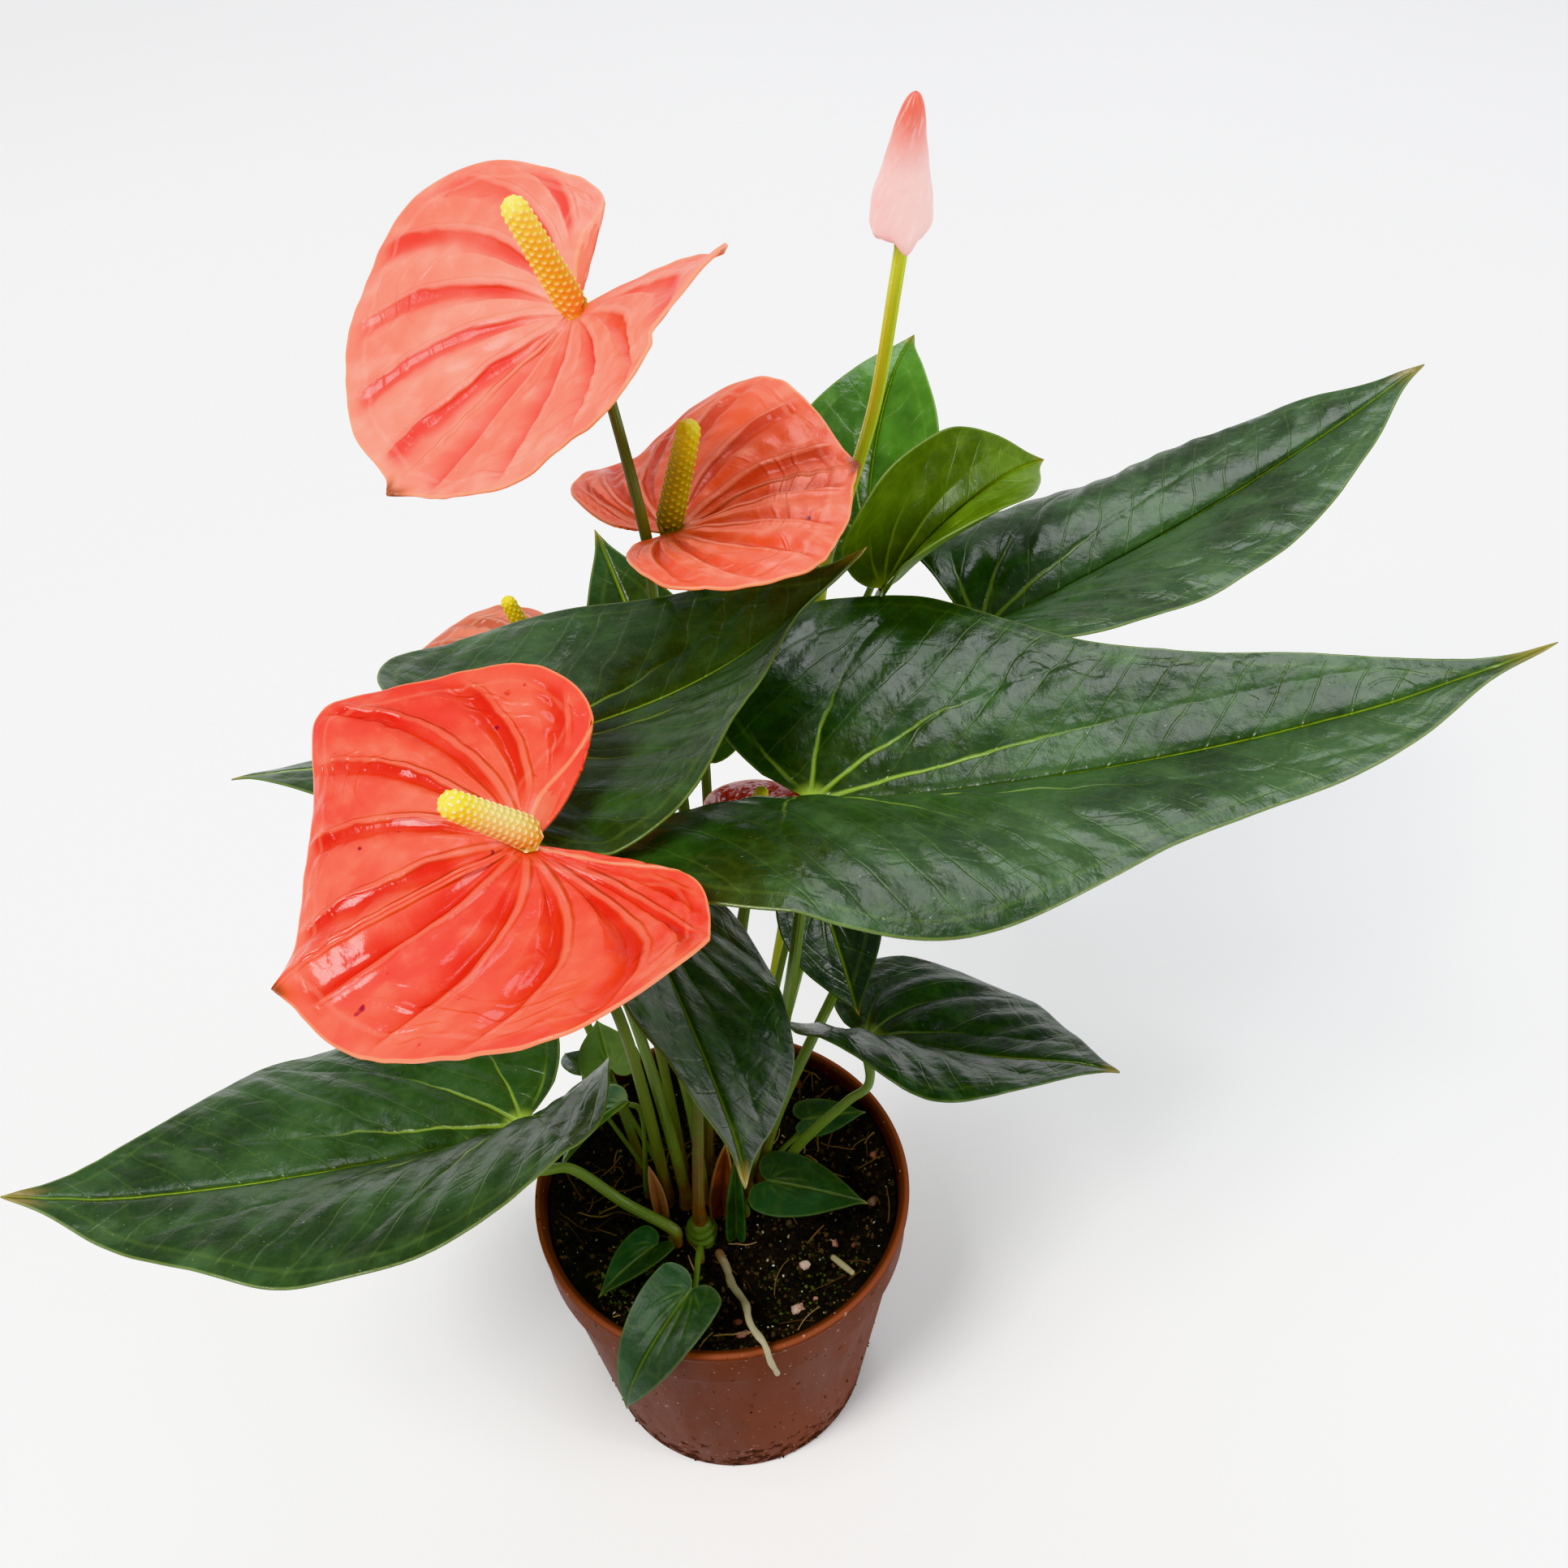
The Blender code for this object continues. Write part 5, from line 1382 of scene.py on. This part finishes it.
def loose_bits(name, places, sizes, flatness, finish, seed, level=1):
    """Scattered bits of one low ball shape, squashed, dented, turned and placed by random draws, in one mesh.

    Bit k is place(k) + turn(k) * (size(k) * squash(k) * dent * ball point).
    """
    rng = np.random.default_rng(seed)
    ball = bmesh.new()
    bmesh.ops.create_icosphere(ball, subdivisions=level, radius=1.0)
    points = np.array([v.co for v in ball.verts])
    faces = np.array([[v.index for v in face.verts] for face in ball.faces])
    ball.free()
    count = len(places)
    q = rng.normal(size=(count, 4))
    w, x, y, z = (q / np.linalg.norm(q, axis=1)[:, None]).T
    turn = np.array(
        [
            [1 - 2 * (y * y + z * z), 2 * (x * y - z * w), 2 * (x * z + y * w)],
            [2 * (x * y + z * w), 1 - 2 * (x * x + z * z), 2 * (y * z - x * w)],
            [2 * (x * z - y * w), 2 * (y * z + x * w), 1 - 2 * (x * x + y * y)],
        ]
    ).transpose(2, 0, 1)
    squash = rng.uniform(flatness, 1.0, (count, 1, 3))
    dent = rng.uniform(0.72, 1.12, (count, len(points), 1))
    bits = np.einsum("kij,kpj->kpi", turn, points[None] * squash * dent * np.array(sizes)[:, None, None])
    bits = bits + np.array(places)[:, None] + POT_CENTRE
    index = (faces[None] + len(points) * np.arange(count)[:, None, None]).reshape(-1, 3)
    mesh = bpy.data.meshes.new(name)
    mesh.from_pydata((bits.reshape(-1, 3) * MM).tolist(), [], index.tolist())
    tone = mesh.attributes.new("tone", "FLOAT", "POINT")
    tone.data.foreach_set("value", np.repeat(rng.uniform(0, 1, count), len(points)))
    return shown(name, mesh, (finish,), [])


def on_soil(count, seed, inner=0.0, outer=None, sector=(0.0, 360.0)):
    """Random places on the top of the soil between two radii and two headings."""
    rng = np.random.default_rng(seed)
    outer = soil_top()[0][-1] - 0.5 if outer is None else outer
    radius = np.sqrt(rng.uniform(inner**2, outer**2, count))
    a = np.radians(rng.uniform(*sector, count))
    x, y = radius * np.cos(a), radius * np.sin(a)
    return np.stack([x, y, soil_height(radius, x, y)], -1)


def make_fibres(count=110):
    """Fine root threads lying on the soil, each a thin bent rod."""
    rng = np.random.default_rng(31)
    starts = on_soil(count, 32, 4.0)
    points, faces, tones = [], [], []
    for k in range(count):
        a = rng.uniform(0, 2 * math.pi)
        length = rng.uniform(5.0, 14.0)
        t = np.linspace(-0.5, 0.5, 7)
        bend = rng.uniform(-0.5, 0.5)
        x = starts[k, 0] + length * t * math.cos(a) - length * bend * t**2 * math.sin(a)
        y = starts[k, 1] + length * t * math.sin(a) + length * bend * t**2 * math.cos(a)
        radius = np.hypot(x, y)
        limit = inner_radius(POT_HEIGHT - COLLAR_HEIGHT) - 1.2
        pull = np.minimum(1.0, limit / np.maximum(radius, 1e-6))
        x, y = x * pull, y * pull
        z = soil_height(np.hypot(x, y), x, y) + rng.uniform(0.2, 1.2) + 0.6 * np.cos(3 * t)
        thick = rng.uniform(0.14, 0.34) * (1 - 1.2 * t**2)
        grid, _, _ = tube(np.stack([x, y, z], -1), thick, 5)
        index = np.arange(grid.shape[0] * grid.shape[1]).reshape(grid.shape[:2]) + sum(map(len, points))
        quads = np.stack([index[:-1, :-1], index[1:, :-1], index[1:, 1:], index[:-1, 1:]], -1)
        points.append(grid.reshape(-1, 3))
        faces.append(quads.reshape(-1, 4))
        tones.append(np.full(grid.shape[0] * grid.shape[1], rng.uniform(0, 1)))
    mesh = bpy.data.meshes.new("root_fibres")
    whole = (np.concatenate(points) + POT_CENTRE) * MM
    mesh.from_pydata(whole.tolist(), [], np.concatenate(faces).tolist())
    tone = mesh.attributes.new("tone", "FLOAT", "POINT")
    tone.data.foreach_set("value", np.concatenate(tones))
    join_points(mesh, 0.004)
    return shown("root_fibres", mesh, ("fibres",), [])


def make_crown():
    """Green knob with old rings round it."""
    t = np.linspace(0, 1, 40)
    shape = np.interp(t, np.linspace(0, 1, 7), [0.92, 1.0, 1.0, 0.94, 0.86, 0.74, 0.46])
    rings = 1 + 0.06 * np.sin(2 * math.pi * 3.5 * t)
    path = np.stack([CROWN[0] + 0 * t, CROWN[1] + 0 * t, SOIL_TOP - 1.0 + (CROWN_HEIGHT + 1.2) * t], -1)
    a = np.linspace(2 * math.pi, 0, 41)[None]
    swell = 1 + 0.05 * np.cos(3 * a + 4 * np.concatenate([[0], t, [1]])[:, None])
    return make_tube("crown_fine", "crown", path, CROWN_RADIUS * shape * rings, "knob", 40, swell)


def make_root():
    """Aerial root over the rim, knotty, blunt at its tip."""
    over = POT_HEIGHT + AERIAL_ROOT_RADIUS + 0.8
    path = spline(
        [
            (-3.0, -18.5, SOIL_TOP + 0.8 + AERIAL_ROOT_RADIUS),
            (0.0, -30.0, SOIL_TOP + 5.5),
            (4.0, -RIM_RADIUS + 12.0, over + 0.6),
            (7.0, -RIM_RADIUS + 2.0, over + 1.6),
            (9.5, -RIM_RADIUS - 2.5, over - 3.0),
            (11.5, -RIM_RADIUS - 3.4, over - 12.0),
        ],
        90,
    )
    path = path[: len(path) - 6]
    t = np.linspace(0, 1, len(path))
    radii = AERIAL_ROOT_RADIUS * (0.86 - 0.30 * t) * (1 + 0.08 * np.sin(31 * t) + 0.06 * np.sin(57 * t + 1))
    wobble = np.stack([0.7 * np.sin(19 * t), 0 * t, 0.3 * np.sin(27 * t)], -1)
    path = path + wobble * np.sin(math.pi * t)[:, None]
    path, radii = rounded(path, radii)
    return make_tube("aerial_root_fine", "aerial_root", path, radii, "root")


def make_stub():
    """Cut end of an old stalk, a short rod rounded at both ends."""
    low = np.array(STUB_FOOT) + (0.0, 0.0, SOIL_TOP)
    t = np.linspace(0, 1, 24)
    path = low + np.array(STUB_RUN) * t[:, None]
    radii = STUB_RADIUS * np.interp(t, np.linspace(0, 1, 4), [0.75, 0.8, 0.8, 0.7])
    path, radii = rounded(path, radii * (1 + 0.03 * np.sin(40 * t)), 3)
    return make_tube("old_stub_fine", "old_stub", path, radii, "stub")


# The bud's foot is lifted off the CAD bud's, and its three corners start at this angle and hang by this much
BUD_LIFT = 2.5
BUD_CORNER_TURN = 0.55
BUD_CORNER_HANG = 4.2


def make_bud():
    """Closed flower: one sheet rolled a turn and a half round itself, its free edge running down one side.

    Point (t, a) lies at radius R(t) * (0.88 + 0.12 (a / end) ^ 1.5), where a is the angle of roll. Three
    corners hang below the foot.
    """
    base = np.array(BUD_BASE) + (0.0, 0.0, SOIL_TOP + BUD_LIFT)
    knots = np.array([0.0, 0.04, 0.10, 0.19, 0.3, 0.4, 0.5, 0.6, 0.7, 0.8, 0.9, 0.965, 1.0])
    shape = np.array([0.40, 0.92, 1.03, 1.02, 0.93, 0.80, 0.68, 0.60, 0.52, 0.44, 0.33, 0.19, 0.01])
    curve = spline(np.stack([knots, shape], -1), 400)
    t = np.linspace(0, 1, 120)
    thick = BUD_RADIUS * np.interp(t, curve[:, 0], curve[:, 1])
    centre = base + np.array([0, 0, BUD_LENGTH - BUD_LIFT]) * t[:, None]
    centre = centre + np.array(BUD_LEAN) * (t * t)[:, None]
    end = 2 * math.pi * 1.45
    a = np.linspace(0, end, 130)
    turn = a[None] + 1.6 * t[:, None] + 2.4
    roll = 0.88 + 0.12 * (a / end)[None] ** 1.5
    fold = 1 + 0.03 * np.sin(2 * turn + 5 * t[:, None]) + 0.012 * np.sin(26 * t[:, None] + 1.5 * np.sin(turn))
    radius = thick[:, None] * roll * fold
    corner = np.clip(np.cos(3 * (turn - BUD_CORNER_TURN)), 0, 1) ** 2
    hang = -BUD_CORNER_HANG * np.exp(-((t / 0.10) ** 2))[:, None] * corner * radius / BUD_RADIUS
    grid = centre[:, None] + np.stack([radius * np.cos(turn), radius * np.sin(turn), hang], -1)
    layer = np.stack([t[:, None] + 0 * a[None], (a / end)[None] + 0 * t[:, None]], -1)
    mesh = skin("bud", grid[:, ::-1], {"skin": layer[:, ::-1]})
    made = shown("flower_bud_fine", mesh, ("bud",), ["flower_bud"])
    solid = made.modifiers.new("thickness", "SOLIDIFY")
    solid.thickness = 0.5 * MM
    solid.offset = -1.0
    return made


def make_bud_stalk():
    """The bud's stalk along the CAD stalk's own path, run on into the lifted bud."""
    base = np.array(BUD_BASE) + (0.0, 0.0, SOIL_TOP)
    direction = unit(BUD_STALK_ARRIVES)
    end = base - (0.0, 0.0, STALK_GAP + 0.4 * BUD_STALK_RADII[1])
    path = stalk_path(BUD_STALK_BASE, BUD_STALK_WAY, end, direction, 12.0, 80)
    path = np.concatenate([path, [base + (0.0, 0.0, BUD_LIFT + 1.6)]])
    radii = np.concatenate([np.linspace(*BUD_STALK_RADII, 80), [BUD_STALK_RADII[1] * 1.1]])
    path[0, 2] -= STALK_SINK
    return make_tube("flower_stalk_bud_fine", "flower_stalk_bud", path, radii, "bud_stalk")


# ---- pieces ----

make_pot()
make_soil()
make_crown()
make_root()
make_stub()
make_bud()
make_bud_stalk()
for order, sheet_name in enumerate(SHEETS):
    make_sheet(sheet_name, 100 + 10 * order)
for stalk_name in STALKS:
    make_stalk(stalk_name)
for spike_name in SPIKES:
    make_spike(spike_name)

CRUMBS = 2400
STONES = 26
CHIPS = 330
CLINGING = 150
draws = np.random.default_rng(11)
loose_bits("soil_crumbs", on_soil(CRUMBS, 12), draws.uniform(0.3, 1.5, CRUMBS), 0.45, "crumbs", 13)
stone_sizes = draws.uniform(1.2, 2.5, STONES)
loose_bits("small_stones", on_soil(STONES, 14, 10.0), stone_sizes, 0.6, "stones", 15, 2)
loose_bits("pale_chips", on_soil(CHIPS, 16, 8.0), draws.uniform(0.25, 0.8, CHIPS), 0.35, "chips", 17)
moss_spots = np.concatenate(
    [on_soil(260, 18, 26.0, 50.0, (205, 250)), on_soil(120, 19, 28.0, 50.0, (285, 330))]
)
loose_bits("moss_tufts", moss_spots, draws.uniform(0.4, 1.0, len(moss_spots)), 0.5, "moss", 20)
make_fibres()

# Soil clinging to the outside of the pot, mostly near its foot
cling = np.random.default_rng(21)
cling_height = cling.uniform(0, 1, CLINGING) ** 3 * 80.0 + 0.8
cling_angle = cling.uniform(0, 2 * math.pi, CLINGING)
cling_radius = outer_radius(cling_height)
cling_places = np.stack(
    [cling_radius * np.cos(cling_angle), cling_radius * np.sin(cling_angle), cling_height], -1
)
loose_bits("clinging_soil", cling_places, cling.uniform(0.25, 0.8, CLINGING), 0.5, "crumbs", 22)


# ---- floor, light and camera ----


def area_light(name, place, aim, size, power, colour=(1.0, 1.0, 1.0)):
    """A round soft light that faces a point."""
    light = bpy.data.lights.new(name, "AREA")
    light.shape = "DISK"
    light.size = size
    light.energy = power
    light.color = colour
    made = bpy.data.objects.new(name, light)
    made.location = place
    made.rotation_euler = (Vector(aim) - Vector(place)).to_track_quat("-Z", "Y").to_euler()
    bpy.context.scene.collection.objects.link(made)


FLOOR_REACH = 4
floor_mesh = bpy.data.meshes.new("floor")
floor_level = pot_low[2] * MM
corners = ((-FLOOR_REACH, -FLOOR_REACH), (FLOOR_REACH, -FLOOR_REACH), (FLOOR_REACH, FLOOR_REACH),
           (-FLOOR_REACH, FLOOR_REACH))
floor_mesh.from_pydata([(x, y, floor_level) for x, y in corners], [], [(0, 1, 2, 3)])
floor_mesh.materials.append(FINISHES["floor"])
floor = bpy.data.objects.new("floor", floor_mesh)
bpy.context.scene.collection.objects.link(floor)

world = bpy.data.worlds.new("studio")
bpy.context.scene.world = world
world.use_nodes = True
world.node_tree.nodes["Background"].inputs["Color"].default_value = (0.98, 0.98, 1.0, 1.0)
world.node_tree.nodes["Background"].inputs["Strength"].default_value = 0.55
area_light("key", (-0.8, -0.6, 1.8), (0, 0, 0.2), 0.9, 36.0, (1.0, 0.98, 0.95))
area_light("over", (0.35, 1.1, 1.7), (0, 0, 0.2), 1.1, 13.0, (0.94, 0.97, 1.0))
area_light("side", (1.4, -0.5, 0.8), (0, 0, 0.15), 0.7, 10.0)
bpy.context.scene.view_settings.view_transform = "Khronos PBR Neutral"

# The camera stands in front of the pot and above it, and looks down at the plant
CAMERA_LENS = 41.93
CAMERA_SENSOR = 36.0
CAMERA_BACK = 0.320
CAMERA_UP = 0.615
CAMERA_DOWN, CAMERA_RIGHT, CAMERA_ROLL = np.radians((45.56, 4.55, -2.46))
ahead = Vector(
    (
        math.sin(CAMERA_RIGHT) * math.cos(CAMERA_DOWN),
        math.cos(CAMERA_RIGHT) * math.cos(CAMERA_DOWN),
        -math.sin(CAMERA_DOWN),
    )
)
level = Vector((math.cos(CAMERA_RIGHT), -math.sin(CAMERA_RIGHT), 0.0))
upward = level.cross(ahead)
right = level * math.cos(CAMERA_ROLL) + upward * math.sin(CAMERA_ROLL)
upward = upward * math.cos(CAMERA_ROLL) - level * math.sin(CAMERA_ROLL)
camera_data = bpy.data.cameras.new("camera")
camera_data.lens = CAMERA_LENS
camera_data.sensor_width = CAMERA_SENSOR
camera_data.clip_start = 0.01
camera = bpy.data.objects.new("camera", camera_data)
bpy.context.scene.collection.objects.link(camera)
turned_to = Matrix((right, upward, -ahead)).transposed().to_4x4()
camera_place = Vector(POT_CENTRE * MM) + Vector((0, -CAMERA_BACK, CAMERA_UP))
camera.matrix_world = Matrix.Translation(camera_place) @ turned_to
bpy.context.scene.camera = camera
